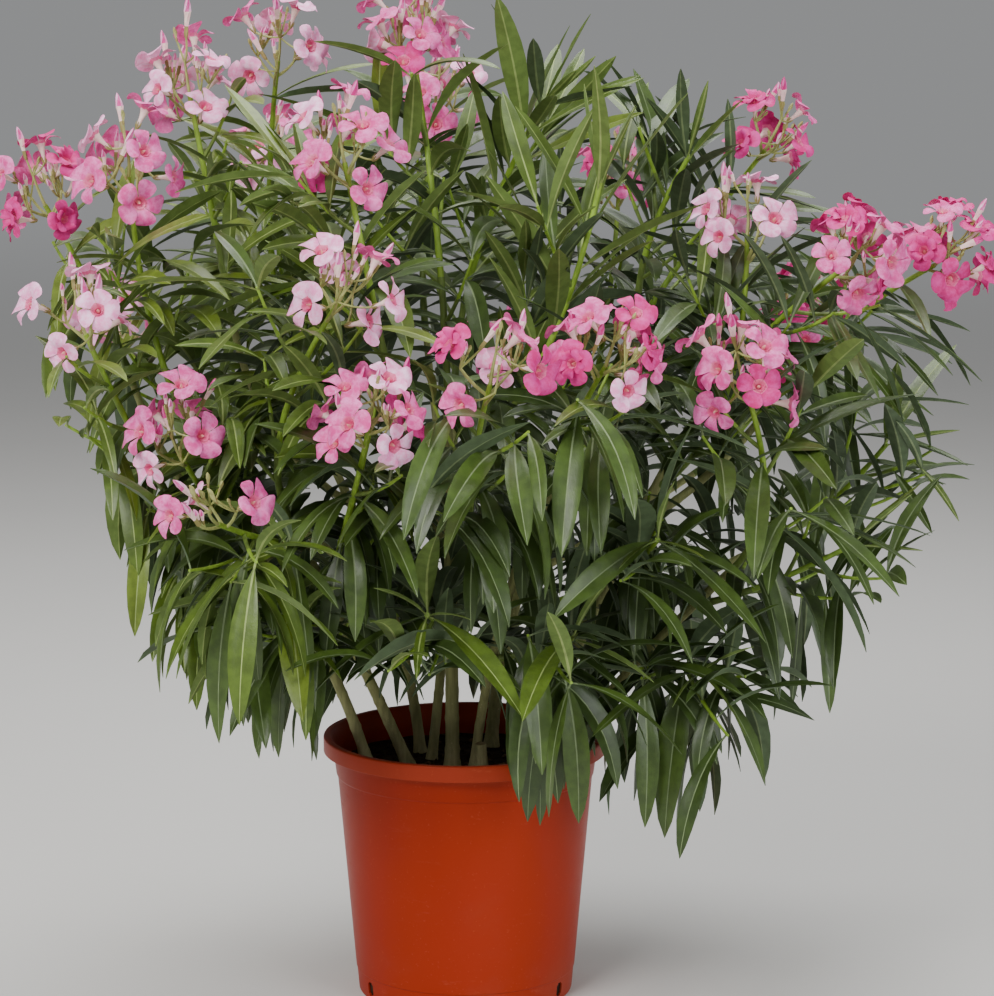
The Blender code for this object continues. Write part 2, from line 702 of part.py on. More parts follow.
class Mass:
    """One mass of foliage, grown from its shoot by a seeded rule."""

    def __init__(self, name, crown, limb_tree, age, flowers, seed):
        self.name = name
        self.crown = crown
        self.limb_tree = limb_tree
        self.age = age
        self.flowers = flowers
        self.random = random.Random(seed)
        self.path = crown.shoots[name]
        self.rings = even_rings(self.path, SHOOT_POINTS, SHOOT_RADII)
        self.pieces = []
        self.trees = []

    def fits(self, points, bm):
        if not self.crown.owns(self.name, points) or not clear_of_pot(points):
            return False
        tree = tree_of(bm)
        if tree.overlap(self.limb_tree):
            return False
        if any(tree.overlap(other) for other in self.trees):
            return False
        self.trees.append(tree)
        return True

    def add_leaf(self, root, axis, azimuth, age):
        """Tries a leaf at a few turns and lengths, and leaves it out where none fits."""
        rand = self.random
        for attempt in range(TRIES):
            ease = attempt / TRIES
            old = min(1.15, max(0.0, age + rand.uniform(-AGE_SPREAD, AGE_SPREAD)))
            angle = blend(YOUNG_ANGLE, OLD_ANGLE, old) * rand.uniform(1 - 0.5 * ease, 1)
            sag = blend(YOUNG_SAG, OLD_SAG, old) * rand.uniform(0.8, 1.2)
            length = rand.uniform(*LEAF_LENGTH) * (1 - SHORTENING * ease)
            turn = azimuth + rand.uniform(-0.3, 0.3) * (1 + 6 * ease)
            along = spread(axis, angle, turn)
            leaf = Leaf(root - along * ROOT_DEPTH, along, sag, length, rand.uniform(-ROLL, ROLL))
            samples = leaf.samples()
            if not hangs_well(samples) or not self.crown.off_cymes(samples):
                continue
            bm = leaf.solid()
            if self.fits(samples, bm):
                self.pieces.append((bm, "leaf"))
                return
            bm.free()

    def add_whorl(self, root, axis, azimuth, age):
        """Three leaves round a shoot, each a little further up it than the one before."""
        for index in range(3):
            place = root + axis * (ROOT_STEP * (index - 1))
            self.add_leaf(place, axis, azimuth + index * math.radians(120), age)

    def add_twig(self, share):
        """A side twig that ends in a whorl of leaves."""
        rand = self.random
        start, axis, _ = stretch_at(self.rings, share)
        for attempt in range(TRIES):
            aim = spread(axis, TWIG_ANGLE * rand.uniform(0.8, 1.1), rand.uniform(0, 2 * math.pi))
            end = start + aim * rand.uniform(*TWIG_LENGTH) * (1 - 0.4 * attempt / TRIES)
            bm = twig_solid(start, end, *TWIG_RADII)
            points = [start.lerp(end, part) for part in (0.3, 0.65, 1.0)]
            if self.fits(points, bm):
                self.pieces.append((bm, "shoot"))
                age = self.age + 0.5 * AGE_ALONG_SHOOT * (1 - share)
                self.add_whorl(start.lerp(end, 0.88), aim, rand.uniform(0, 2), age)
                return
            bm.free()

    def add_cyme(self):
        """Flowers on a dome round the shoot's tip, turned by the golden angle."""
        rand = self.random
        tip = self.path.end
        onward = stretch_at(self.rings, 1)[1]
        axis = (onward + UP * 0.4).normalized()
        for index in range(self.flowers):
            share = (index + 0.4) / self.flowers
            angle = CYME_ANGLE * math.sqrt(share)
            for attempt in range(TRIES):
                azimuth = index * GOLDEN_ANGLE + rand.uniform(-0.3, 0.3) + attempt * 0.5
                reach = blend(FLOWER_TUBE[1], FLOWER_TUBE[0], share) * rand.uniform(0.9, 1.1)
                aim = spread(axis, angle * rand.uniform(0.85, 1.1), azimuth) * reach
                root = tip - onward * (0.003 + 0.010 * share)
                bm = flower_solid(root, aim, rand.uniform(0, 1))
                points = [vert.co.copy() for vert in bm.verts] + [root + aim]
                if self.fits(points, bm):
                    self.pieces.append((bm, "flower"))
                    break
                bm.free()

    def grow(self):
        rand = self.random
        self.add_cyme()
        for share in TWIG_SHARES:
            self.add_twig(share)
        azimuth = rand.uniform(0, 2 * math.pi)
        length = (self.path.end - self.path.start).length
        leafy = 1 - min(PEDUNCLE / length, PEDUNCLE_SHARE) if self.flowers else 1
        for index, place in enumerate(WHORLS):
            share = place * leafy
            age = self.age + AGE_ALONG_SHOOT * (1 - share) + (OPENED if self.flowers else 0)
            turn = azimuth + index * math.radians(60)
            middle, axis, _ = stretch_at(self.rings, share)
            self.add_whorl(middle, axis, turn, age)

    def build(self, parts, finishes):
        """One union joins the leaves, twigs and flowers to the shoot."""
        self.grow()
        tube = skin_mesh(self.name, self.rings, 0, 0)
        thing = add_object(self.name, tube, parts, finishes["shoot"])
        holder = new_collection(self.name + "_pieces", hidden=True)
        for index, (bm, kind) in enumerate(self.pieces):
            piece = f"{self.name}_{kind}_{index}"
            add_object(piece, mesh_from(bm, piece), holder, finishes[kind])
        boolean(thing, "UNION", collection=holder)
        for piece in list(holder.objects):
            bpy.data.objects.remove(piece)
        bpy.data.collections.remove(holder)
        largest_piece(thing.data)
        return thing


def build_limbs(parts, cutters, material):
    """Every cane is cut flat on the compost, and every bough is cut clear of its cane."""
    crown = Crown()
    size = 4 * LIP_RADIUS
    bpy.ops.mesh.primitive_cube_add(size=size)
    ground = bpy.context.object
    ground.name = "ground_cutter"
    ground.location = (0, 0, SOIL_TOP + GAP - size / 2)
    for holder in list(ground.users_collection):
        holder.objects.unlink(ground)
    cutters.objects.link(ground)
    as_cutter(ground)

    fattened = {}
    for name, (foot, lean, tip, radius, tip_radius) in STEMS.items():
        path = stem_path(foot, lean, tip)
        rings = stem_rings(path, radius, tip_radius)
        crown.add_limb(name, path, rings)
        stem = add_object(name, stem_mesh(name, rings, 0), parts, material)
        boolean(stem, "DIFFERENCE", other=ground)
        cutter = add_object(name + "_cutter", stem_mesh(name, rings, GAP), cutters)
        as_cutter(cutter)
        fattened[name] = cutter

    for name, (stem, share, tip, radius, tip_radius) in BOUGHS.items():
        cane = crown.limbs[stem]
        path = bough_path(cane.at(share), cane.direction(share), tip)
        rings = even_rings(path, BOUGH_POINTS, (radius, tip_radius))
        crown.add_limb(name, path, rings)
        bough = add_object(name, skin_mesh(name, rings, 0, 1), parts, material)
        boolean(bough, "DIFFERENCE", other=fattened[stem])
        largest_piece(bough.data)

    for name in crown.limbs:
        mesh = bpy.data.objects[name].data
        mesh.shade_smooth()
        mesh.set_sharp_from_angle(angle=SHARP_ANGLE)

    for name, (limb, share, tip, _, _) in MASSES.items():
        crown.add_shoot(name, limb, share, tip)
    crown.settle()
    return crown


def limb_tree(crown):
    """The skins of all limbs, a little fattened, that no leaf or twig may touch."""
    verts = []
    faces = []
    for name, rings in crown.rings.items():
        mesh = skin_mesh("fat_" + name, rings, LIMB_MARGIN, 1)
        first = len(verts)
        verts += [vert.co.copy() for vert in mesh.vertices]
        faces += [[first + corner for corner in face.vertices] for face in mesh.polygons]
        bpy.data.meshes.remove(mesh)
    return BVHTree.FromPolygons(verts, faces)


def main():
    clear_scene()
    parts = new_collection("potted_oleander")
    cutters = new_collection("cutters", hidden=True)
    build_pot(parts, new_material("pot_plastic", TERRACOTTA, 0.35))
    build_soil(parts, new_material("compost", COMPOST, 0.95))
    crown = build_limbs(parts, cutters, new_material("bark", BARK, 0.8))
    tree = limb_tree(crown)
    finishes = {
        "shoot": new_material("green_shoot", SHOOT_GREEN, 0.5),
        "leaf": new_material("leaf", LEAF_GREEN, 0.4),
        "flower": new_material("petal", PETAL_PINK, 0.6),
    }
    for index, (name, (_, _, _, age, flowers)) in enumerate(MASSES.items()):
        mass = Mass(name, crown, tree, age, flowers, FIRST_SEED + index)
        mass.build(parts, finishes)


if __name__ == "__main__":
    main()
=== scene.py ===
"""The potted oleander, dressed: canes, leaves, flowers, pot and compost over the fixed frame."""

import json
import math
import random

import bmesh
import bpy
import numpy as np
from mathutils import Matrix, Quaternion, Vector, noise
from mathutils.bvhtree import BVHTree

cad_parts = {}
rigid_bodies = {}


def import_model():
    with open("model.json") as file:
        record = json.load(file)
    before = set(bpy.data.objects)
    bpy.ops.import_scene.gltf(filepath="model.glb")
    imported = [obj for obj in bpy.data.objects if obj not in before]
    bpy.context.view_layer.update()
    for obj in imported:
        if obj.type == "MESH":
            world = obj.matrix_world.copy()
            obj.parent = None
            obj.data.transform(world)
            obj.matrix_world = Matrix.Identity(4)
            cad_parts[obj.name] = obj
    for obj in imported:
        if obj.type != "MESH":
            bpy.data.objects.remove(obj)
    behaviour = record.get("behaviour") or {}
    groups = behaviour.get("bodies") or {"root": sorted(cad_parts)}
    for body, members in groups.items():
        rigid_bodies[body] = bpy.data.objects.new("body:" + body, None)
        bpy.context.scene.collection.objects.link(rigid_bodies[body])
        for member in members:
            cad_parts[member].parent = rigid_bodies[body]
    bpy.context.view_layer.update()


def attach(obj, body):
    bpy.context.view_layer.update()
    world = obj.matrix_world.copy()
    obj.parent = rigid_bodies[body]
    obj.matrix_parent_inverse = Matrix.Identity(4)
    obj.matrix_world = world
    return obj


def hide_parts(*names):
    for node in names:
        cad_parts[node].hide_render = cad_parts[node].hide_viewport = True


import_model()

UP = Vector((0, 0, 1))
DOWN = Vector((0, 0, -1))

# The camera.
CAMERA_PLACE = (0.0293, -2.8, 0.907)
CAMERA_PITCH = math.radians(9.1)
CAMERA_LENS = 112.9
CAMERA_SENSOR = 36
CAMERA_FAR = 200

# The pot.
POT_HEIGHT = 0.240
LIP_RADIUS = 0.130
LIP_DROP = 0.0145
LIP_WALL = 0.0022
LIP_THICKNESS = 0.0062
TOP_RADIUS = 0.1190
STEP_Z = 0.2036
STEP_DEPTH = 0.0012
FOOT_Z = 0.022
FOOT_RADIUS = 0.0985
FOOT_STEP = 0.0007
WALL = 0.0018
FLOOR = 0.0030
POT_STEPS = 144
SLOTS = 6
SLOT_WIDTH = 0.009
SLOT_DEPTH = 0.012
SLOT_CORNER = 0.002
SLOT_TOP = 0.018
SLOT_LOW = 0.0046

# The compost.
SOIL_TOP = 0.213
SOIL_RELIEF = 0.0016
SOIL_SUNK = 0.0008
SOIL_HEAP = 0.0018
SOIL_HEAP_REACH = 0.007
SOIL_COLUMNS = 120
SOIL_RINGS = 46
CRUMBS = 620
CRUMB_SIZE = (0.0008, 0.0026)
CRUMB_SEED = 5
CHIPS = 70
CHIP_SIZE = (0.0016, 0.0036)
CHIP_SHAPE = (2.1, 0.9, 0.45)

# The seeds of the random draws.
LIMB_SEED = 300
MASS_SEED = 700
FLOWER_SEEDS = range(40, 47)
DOUBLE_SEEDS = range(50, 53)

# Canes and boughs.
FLARE = 1.30
FLARE_HEIGHT = 0.022
STEM_BEND = 0.45
BOUGH_BEND = 0.5
BOUGH_AIM = (0.75, 0.35, 0.5)
SHOOT_AIM = (0.8, 0.2, 0.5)
CANE_SIDES = 18
CANE_ROW = 0.0045
FOOT_SUNK = 0.006
FURROWS = (0.024, 0.020)
NODE_STEP = 0.030
NODE_WIDTH = 0.0022
NODE_SWELL = 0.055
GROOVE_ABOVE = 0.0034
GROOVE_WIDTH = 0.0012
GROOVE_DEPTH = 0.035
SCAR_SPREAD = 0.16
SCAR_SWELL = 0.11
STUB_FOOT = (0.0165, -0.034)
STUB_RUN = (-0.002, -0.004, 0.030)
STUB_RADIUS = 0.0052
STUB_ROWS = 9
STUB_SIDES = 14

# How far foliage keeps above and beside the pot's lip.
CLEAR_ABOVE = 0.003
CLEAR_BESIDE = 0.0035

# The crown's reach, and how far left its leaves go.
REACH_LOW = Vector((-0.448, -0.388, 0.155))
REACH_HIGH = Vector((0.487, 0.424, 0.926))
LEAF_REACH_LEFT = -0.372

# How far a leaf and a flower may lean into the next mass.
LEAF_LEAN = 0.040
BLOOM_LEAN = 0.012

# How many solids the tests can hold, and how far leaves keep from a cane or bough.
MOST_SOLIDS = 6000
LIMB_SLACK = 0.0006

# The crown's skirt: the lowest that foliage hangs at each distance from the middle, the
# opening over the pot's mouth where the canes show, and the dome that leaves stay under.
SKIRT_RADII = (0.14, 0.20, 0.25, 0.29, 0.325, 0.35, 0.39, 0.43, 0.48)
SKIRT_LEFT = (0.245, 0.250, 0.268, 0.305, 0.480, 0.540, 0.580, 0.615, 0.640)
SKIRT_RIGHT = (0.155, 0.162, 0.188, 0.225, 0.275, 0.335, 0.385, 0.425, 0.465)
SKIRT_TURN = 0.75
SKIRT_DEPTH = 0.6
OPENING_SIDES = (-0.122, 0.034)
OPENING_BACK = 0.10
OPENING_LOW = (0.268, 0.338)
OPENING_DEEP = (-0.05, -0.20)
DOME_RADII = (0.06, 0.11, 0.16, 0.22, 0.28, 0.34, 0.40, 0.48)
DOME_HIGHS = (0.915, 0.895, 0.855, 0.840, 0.800, 0.740, 0.660, 0.590)

# The airy part of the crown, and the share of its leaves that are left out.
AIRY_RADIUS = 0.26
AIRY_HEIGHT = 0.66
AIRY_SHARE = 0.34

# Leaves. Young ones stand up along their shoot, and old ones spread and sag.
LEAF_LENGTH = (0.112, 0.158)
LEAF_HALF_WIDTH = 0.0139
LEAF_SLIMS = 0.45
LEAF_BROADENS = (0.90, 1.16)
YOUNG_ANGLE = math.radians(26)
OLD_ANGLE = math.radians(98)
YOUNG_SAG = math.radians(8)
OLD_SAG = math.radians(68)
BEND_SHARE = 0.42
AGE_ALONG_SHOOT = 0.62
LEAF_TRIES = 17
LEAF_ROWS = np.array((0, 0.05, 0.10, 0.19, 0.30, 0.42, 0.55, 0.68, 0.80, 0.91, 1.0))
PETIOLE_ROWS = 1
MID_BLADE = 0.55
BLADE_KEEL = 0.0009
STALK_HALF_WIDTH = 0.0010
TIP_HALF_WIDTH = 0.0003
RIB_HALF_WIDTH = 0.00062
RIB_LIFT = 0.03
RIB_UNDER = 1.4
RIB_ROOT = 0.6

# Leaf tones, each with the age that it ends at. Painted sunlight lightens the tone of the left,
# over some width, and painted shade darkens the top of the right side.
LEAF_TONES = {"leaf_lime": 0.10, "leaf_light": 0.42, "leaf_mid": 0.74, "leaf_dark": math.inf}
YOUNG_TONES = ("leaf_lime", "leaf_light")
LEAF_TONE_SPREAD = 0.10
PAINTED_SUN_SIDE = 0.55
PAINTED_SUN_FROM = -0.02
PAINTED_SUN_OVER = 0.25
PAINTED_SHADE_TOP = 1.00
PAINTED_SHADE_FROM = 0.50
PAINTED_SHADE_OVER = 0.10

# On the right the leaves are stiffer and slimmer, from this far out.
STIFF_SIDE = 0.16
STIFF_OVER = 0.14
STIFF_SAG = 0.42
STIFF_SLIMS = 0.16

# Whorls along a shoot, and the tuft of young leaves at the tip of one without flowers.
LEAVES_IN_WHORL = 3
LEAF_TURN = math.radians(120)
WHORL_TURN = math.radians(60)
WHORL_STEP = 0.026
LEAST_WHORLS = 5
LOWEST_WHORL = 0.12
HIGHEST_WHORL = 0.985
TUFT_YOUNGER = 0.35
TUFT_SIZE = 0.55

# Green shoots and twigs.
SHOOT_RADII = (0.0035, 0.0022)
SHOOT_BEND = 0.42
SITE_STEPS = 14
SHOOT_ROW = 0.007
SHOOT_SIDES = 8
TWIGS = 5
TWIG_SPAN = (0.22, 0.74)
TWIG_LENGTH = (0.060, 0.105)
TWIG_ANGLE = math.radians(46)
TWIG_RISE = 0.25
TWIG_RADII = (0.0021, 0.0012)
TWIG_SIDES = 6
TWIG_EASE = 0.4
TWIG_TESTS = (0.3, 0.5, 0.7, 0.85, 1.0)
TWIG_SLACK = 0.002
TWIG_AGE = 0.75
TWIG_TURN = 1.05
TWIG_WHORLS = (0.45, 0.72, 0.97)
TWIG_SWELLS = (0.45, 0.72, 0.96)
TWIG_LEAF_SIZE = 0.92

# Cymes: the bare end of the shoot, the room they keep clear of leaves, and their branches. The
# top leaves of a shoot in flower are older, and spread.
PEDUNCLE = 0.070
CYME_LENGTH = 0.030
CYME_DEPTH = 0.030
CYME_ANGLE = math.radians(84)
CYME_ROOM = 0.046
CYME_FRONT = 0.055
OPENED = 0.20
BRANCH_TILT = (0.60, 0.95)
BRANCH_DROP = (0.004, 0.026)
BRANCH_LENGTH = (0.020, 0.034)
BRANCH_RADII = (0.0017, 0.0012)

# Flowers, more than the solids have by this share, and buds.
FLOWER_SHARE = 1.6
FLOWER_REACH = (0.056, 0.030)
FLOWER_TRIES = 10
FLOWER_SIZE = (0.86, 1.06)
FLOWER_WANDER = 0.35
GOLDEN_ANGLE = 2.4
TUBE_LENGTH = 0.019
PETALS = 5
PETAL_LENGTH = 0.0158
PETAL_HALF_WIDTH = 0.0094
# The strength of a painted glow in each flower part's own colour, standing in for light through the
# thin petals.
PETAL_PAINTED_GLOW = 0.10
TALL_BUD = (0.027, 0.038)
TALL_BUD_SLACK = 0.0025
TALL_BUD_TRIES = 12
SMALL_BUD = (0.008, 0.019)
GREEN_BUD = 0.015

# Petal tones, each with the depth of pink that it ends at, how many deep flowers are double, and
# the depth from which a tall bud is deep.
PETAL_TONES = {"petal_pale": 0.30, "petal_pink": 0.68, "petal_deep": math.inf}
PETAL_TONE_SPREAD = 0.20
DOUBLE_SHARE = 0.6
DEEP_BUD = 0.6

# Canes: foot X and Y on the compost, lean at the foot, tip, and the radius at the foot and tip.
STEMS = {
    "stem_1": ((-0.088, -0.018), (-0.28, -0.02), (-0.215, -0.030, 0.470), 0.0052, 0.0036),
    "stem_2": ((-0.052, -0.012), (-0.40, -0.20), (-0.150, -0.130, 0.460), 0.0055, 0.0038),
    "stem_3": ((-0.042, 0.034), (-0.08, 0.10), (-0.140, 0.120, 0.500), 0.0052, 0.0038),
    "stem_4": ((-0.031, 0.006), (0.12, 0.16), (-0.010, 0.110, 0.550), 0.0046, 0.0036),
    "stem_5": ((-0.0115, -0.020), (0.00, 0.00), (-0.015, -0.035, 0.560), 0.0066, 0.0042),
    "stem_6": ((0.0085, -0.024), (0.10, -0.12), (0.060, -0.130, 0.460), 0.0045, 0.0036),
    "stem_7": ((0.055, 0.000), (0.40, 0.00), (0.190, 0.000, 0.500), 0.0078, 0.0046),
    "stem_8": ((0.084, 0.010), (0.70, -0.10), (0.235, -0.100, 0.410), 0.0050, 0.0036),
    "stem_9": ((0.024, 0.060), (0.05, 0.20), (0.110, 0.160, 0.500), 0.0062, 0.0042),
}

# Boughs: the cane each springs from, how far up it, the bough's tip, and its radius at both ends.
BOUGHS = {
    "bough_01": ("stem_1", 0.72, (-0.300, 0.010, 0.560), 0.0037, 0.0031),
    "bough_02": ("stem_1", 0.52, (-0.255, -0.100, 0.470), 0.0037, 0.0031),
    "bough_03": ("stem_3", 0.80, (-0.215, 0.060, 0.620), 0.0037, 0.0031),
    "bough_04": ("stem_5", 0.62, (-0.060, -0.120, 0.560), 0.0040, 0.0032),
    "bough_05": ("stem_6", 0.66, (0.015, -0.190, 0.450), 0.0036, 0.0031),
    "bough_06": ("stem_7", 0.78, (0.290, 0.050, 0.550), 0.0042, 0.0032),
    "bough_07": ("stem_7", 0.46, (0.290, 0.060, 0.410), 0.0042, 0.0032),
    "bough_08": ("stem_9", 0.74, (0.160, 0.095, 0.620), 0.0040, 0.0032),
    "bough_09": ("stem_4", 0.66, (-0.040, 0.215, 0.590), 0.0036, 0.0031),
    "bough_10": ("stem_3", 0.55, (-0.235, 0.160, 0.470), 0.0038, 0.0031),
    "bough_11": ("stem_9", 0.55, (0.220, 0.200, 0.450), 0.0040, 0.0032),
}

# Masses of foliage: the limb that carries each, how far up it, the shoot's tip, the age of its
# top leaves, its flowers in the solid, and how deep their pink is, from 0 to 1.
MASSES = {
    "foliage_01": ("bough_01", 1, (-0.372, -0.020, 0.725), 0.25, 5, 0.55),
    "foliage_02": ("stem_1", 1, (-0.288, -0.100, 0.755), 0.20, 5, 0.35),
    "foliage_03": ("bough_03", 1, (-0.248, 0.040, 0.820), 0.15, 5, 0.20),
    "foliage_04": ("stem_3", 1, (-0.171, 0.085, 0.850), 0.15, 4, 0.15),
    "foliage_05": ("stem_5", 1, (-0.046, 0.000, 0.865), 0.10, 7, 0.35),
    "foliage_06": ("bough_04", 1, (-0.099, -0.160, 0.770), 0.15, 5, 0.50),
    "foliage_07": ("stem_4", 1, (0.072, 0.030, 0.815), 0.00, 0, 0.5),
    "foliage_08": ("stem_5", 0.82, (0.118, -0.100, 0.750), 0.00, 0, 0.5),
    "foliage_09": ("bough_08", 1, (0.205, 0.060, 0.765), 0.05, 0, 0.5),
    "foliage_10": ("stem_9", 1, (0.282, 0.160, 0.765), 0.15, 4, 0.90),
    "foliage_11": ("stem_7", 0.90, (0.250, -0.040, 0.700), 0.15, 3, 0.15),
    "foliage_12": ("stem_7", 1, (0.332, -0.115, 0.680), 0.25, 7, 0.60),
    "foliage_13": ("bough_06", 1, (0.422, 0.000, 0.670), 0.30, 7, 0.70),
    "foliage_14": ("bough_02", 1, (-0.320, -0.160, 0.625), 0.25, 4, 0.15),
    "foliage_15": ("stem_2", 1, (-0.101, -0.240, 0.660), 0.25, 4, 0.15),
    "foliage_16": ("stem_2", 0.74, (-0.075, -0.285, 0.560), 0.35, 6, 0.60),
    "foliage_17": ("bough_05", 1, (0.024, -0.300, 0.600), 0.30, 3, 0.45),
    "foliage_18": ("stem_6", 1, (0.118, -0.265, 0.610), 0.25, 7, 0.65),
    "foliage_19": ("stem_8", 1, (0.235, -0.215, 0.590), 0.25, 7, 0.65),
    "foliage_20": ("stem_1", 0.84, (-0.240, -0.190, 0.530), 0.35, 4, 0.55),
    "foliage_21": ("stem_2", 0.90, (-0.200, -0.270, 0.480), 0.40, 2, 0.15),
    "foliage_22": ("bough_07", 1, (0.390, 0.060, 0.500), 0.35, 0, 0.5),
    "foliage_23": ("stem_8", 0.82, (0.344, -0.080, 0.430), 0.45, 0, 0.5),
    "foliage_24": ("stem_1", 0.48, (-0.240, 0.030, 0.415), 0.55, 0, 0.5),
    "foliage_25": ("stem_2", 0.50, (-0.150, -0.175, 0.400), 0.50, 0, 0.5),
    "foliage_26": ("stem_5", 0.40, (-0.030, -0.200, 0.390), 0.50, 0, 0.5),
    "foliage_27": ("stem_6", 0.46, (0.095, -0.175, 0.365), 0.45, 0, 0.5),
    "foliage_28": ("stem_8", 0.56, (0.206, -0.150, 0.330), 0.55, 0, 0.5),
    "foliage_29": ("stem_3", 0.90, (-0.190, 0.260, 0.740), 0.20, 5, 0.40),
    "foliage_30": ("bough_09", 1, (-0.030, 0.260, 0.800), 0.15, 5, 0.30),
    "foliage_31": ("stem_9", 0.90, (0.150, 0.300, 0.720), 0.20, 5, 0.60),
    "foliage_32": ("bough_10", 1, (-0.340, 0.200, 0.590), 0.30, 4, 0.30),
    "foliage_33": ("stem_4", 0.50, (0.035, 0.350, 0.540), 0.35, 4, 0.60),
    "foliage_34": ("bough_11", 1, (0.330, 0.240, 0.590), 0.30, 5, 0.70),
    "foliage_35": ("stem_3", 0.38, (-0.150, 0.250, 0.370), 0.55, 0, 0.5),
    "foliage_36": ("stem_9", 0.40, (0.170, 0.260, 0.350), 0.55, 0, 0.5),
    "foliage_37": ("stem_7", 0.62, (0.165, -0.200, 0.455), 0.50, 0, 0.5),
}


def blend(low, high, share):
    return low + (high - low) * share


# ---------------------------------------------------------------- finishes


class Wire:
    """A socket's value in a finish. Arithmetic on it adds Math nodes."""

    def __init__(self, finish, socket):
        self.finish = finish
        self.socket = socket

    def __add__(self, other):
        return self.finish.math("ADD", self, other)

    def __radd__(self, other):
        return self.finish.math("ADD", other, self)

    def __sub__(self, other):
        return self.finish.math("SUBTRACT", self, other)

    def __rsub__(self, other):
        return self.finish.math("SUBTRACT", other, self)

    def __mul__(self, other):
        return self.finish.math("MULTIPLY", self, other)

    def __rmul__(self, other):
        return self.finish.math("MULTIPLY", other, self)


class Finish:
    """A procedural material built round one Principled shader."""

    def __init__(self, name, **steady):
        self.material = bpy.data.materials.new(name)
        self.material.use_nodes = True
        self.tree = self.material.node_tree
        self.shader = self.tree.nodes["Principled BSDF"]
        for word, value in steady.items():
            label = word.replace("_", " ").title().replace("Ior", "IOR")
            self.shader.inputs[label].default_value = value

    def node(self, kind, settings=None, output=0, **sockets):
        """One node: its settings are set first, then its sockets' values or links."""
        made = self.tree.nodes.new(kind)
        for word, value in (settings or {}).items():
            setattr(made, word, value)
        for word, value in sockets.items():
            key = int(word[1:]) if word[0] == "_" else word.replace("_", " ").title()
            self.join(made.inputs[key], value)
        return Wire(self, made.outputs[output])

    def join(self, socket, value):
        if isinstance(value, Wire):
            self.tree.links.new(value.socket, socket)
        else:
            socket.default_value = value

    def math(self, operation, first, second):
        return self.node("ShaderNodeMath", {"operation": operation}, _0=first, _1=second)

    def place(self):
        return self.node("ShaderNodeTexCoord", output="Object")

    def stretched(self, scale):
        return self.node(
            "ShaderNodeVectorMath", {"operation": "MULTIPLY"}, _0=self.place(), _1=scale
        )

    def grain(self, scale, detail=3.0, roughness=0.5, place=None):
        return self.node(
            "ShaderNodeTexNoise",
            vector=place or self.place(),
            scale=scale,
            detail=detail,
            roughness=roughness,
        )

    def height(self):
        """The Z of the surface, in metres."""
        return self.node("ShaderNodeSeparateXYZ", output="Z", _0=self.place())

    def ramp(self, value, low, high):
        """Value mapped from low..high to 0..1, with soft ends."""
        return self.node(
            "ShaderNodeMapRange",
            {"interpolation_type": "SMOOTHSTEP"},
            _0=value,
            _1=low,
            _2=high,
        )

    def colours(self, share, first, second):
        return self.node(
            "ShaderNodeMix",
            {"data_type": "RGBA"},
            output=2,
            _0=share,
            _6=first if isinstance(first, Wire) else (*first, 1),
            _7=second if isinstance(second, Wire) else (*second, 1),
        )

    def tones(self, share, colour, dark, light):
        """A darker and a lighter form of one colour, mixed by a share."""
        return self.colours(share, lighter(colour, dark), lighter(colour, light))

    def feed(self, word, value):
        self.join(self.shader.inputs[word], value)

    def surface(self, colour, roughness, height, distance, strength):
        """Feeds the shader its colour, roughness and bump, and gives the finished material."""
        self.feed("Base Color", colour)
        self.feed("Roughness", roughness)
        bump = self.node("ShaderNodeBump", height=height, distance=distance, strength=strength)
        self.feed("Normal", bump)
        return self.material


def lighter(colour, factor):
    return tuple(min(1.0, part * factor) for part in colour)


def blade_finish(name, colour, coat):
    """The upper face of a leathery leaf: fine mottling and a waxy coat over an uneven grain."""
    made = Finish(name, coat_weight=coat, coat_roughness=0.28, specular_ior_level=0.36)
    mottle = made.ramp(made.grain(70.0, 4.0, 0.6), 0.32, 0.70)
    return made.surface(
        made.tones(mottle, colour, 0.78, 1.24),
        0.36 + 0.10 * made.grain(160.0, 2.0),
        made.grain(900.0, 2.0) + 1.6 * made.grain(260.0, 2.0),
        0.00022,
        0.55,
    )


def matt_leaf_finish(name, colour, roughness):
    """A rib, an underside, a calyx or a green bud, matt and slightly uneven."""
    made = Finish(name, specular_ior_level=0.35)
    tone = made.ramp(made.grain(120.0, 3.0), 0.3, 0.7)
    return made.surface(
        made.tones(tone, colour, 0.85, 1.15),
        roughness + 0.08 * made.grain(300.0, 1.0),
        made.grain(700.0, 2.0),
        0.0002,
        0.4,
    )


def petal_finish(name, colour, pale):
    """A thin petal: streaks of a paler tone, a soft, slightly crumpled surface and a painted glow
    of its own colour.
    """
    # The emission is a painted glow, standing in for light through the thin petal.
    made = Finish(
        name,
        specular_ior_level=0.25,
        emission_color=(*colour, 1),
        emission_strength=PETAL_PAINTED_GLOW,
    )
    streak = made.ramp(made.grain(130.0, 4.0, 0.65), 0.34, 0.68)
    return made.surface(
        made.colours(streak, colour, pale),
        0.50 + 0.12 * made.grain(220.0, 2.0),
        made.grain(520.0, 3.0),
        0.00035,
        0.5,
    )


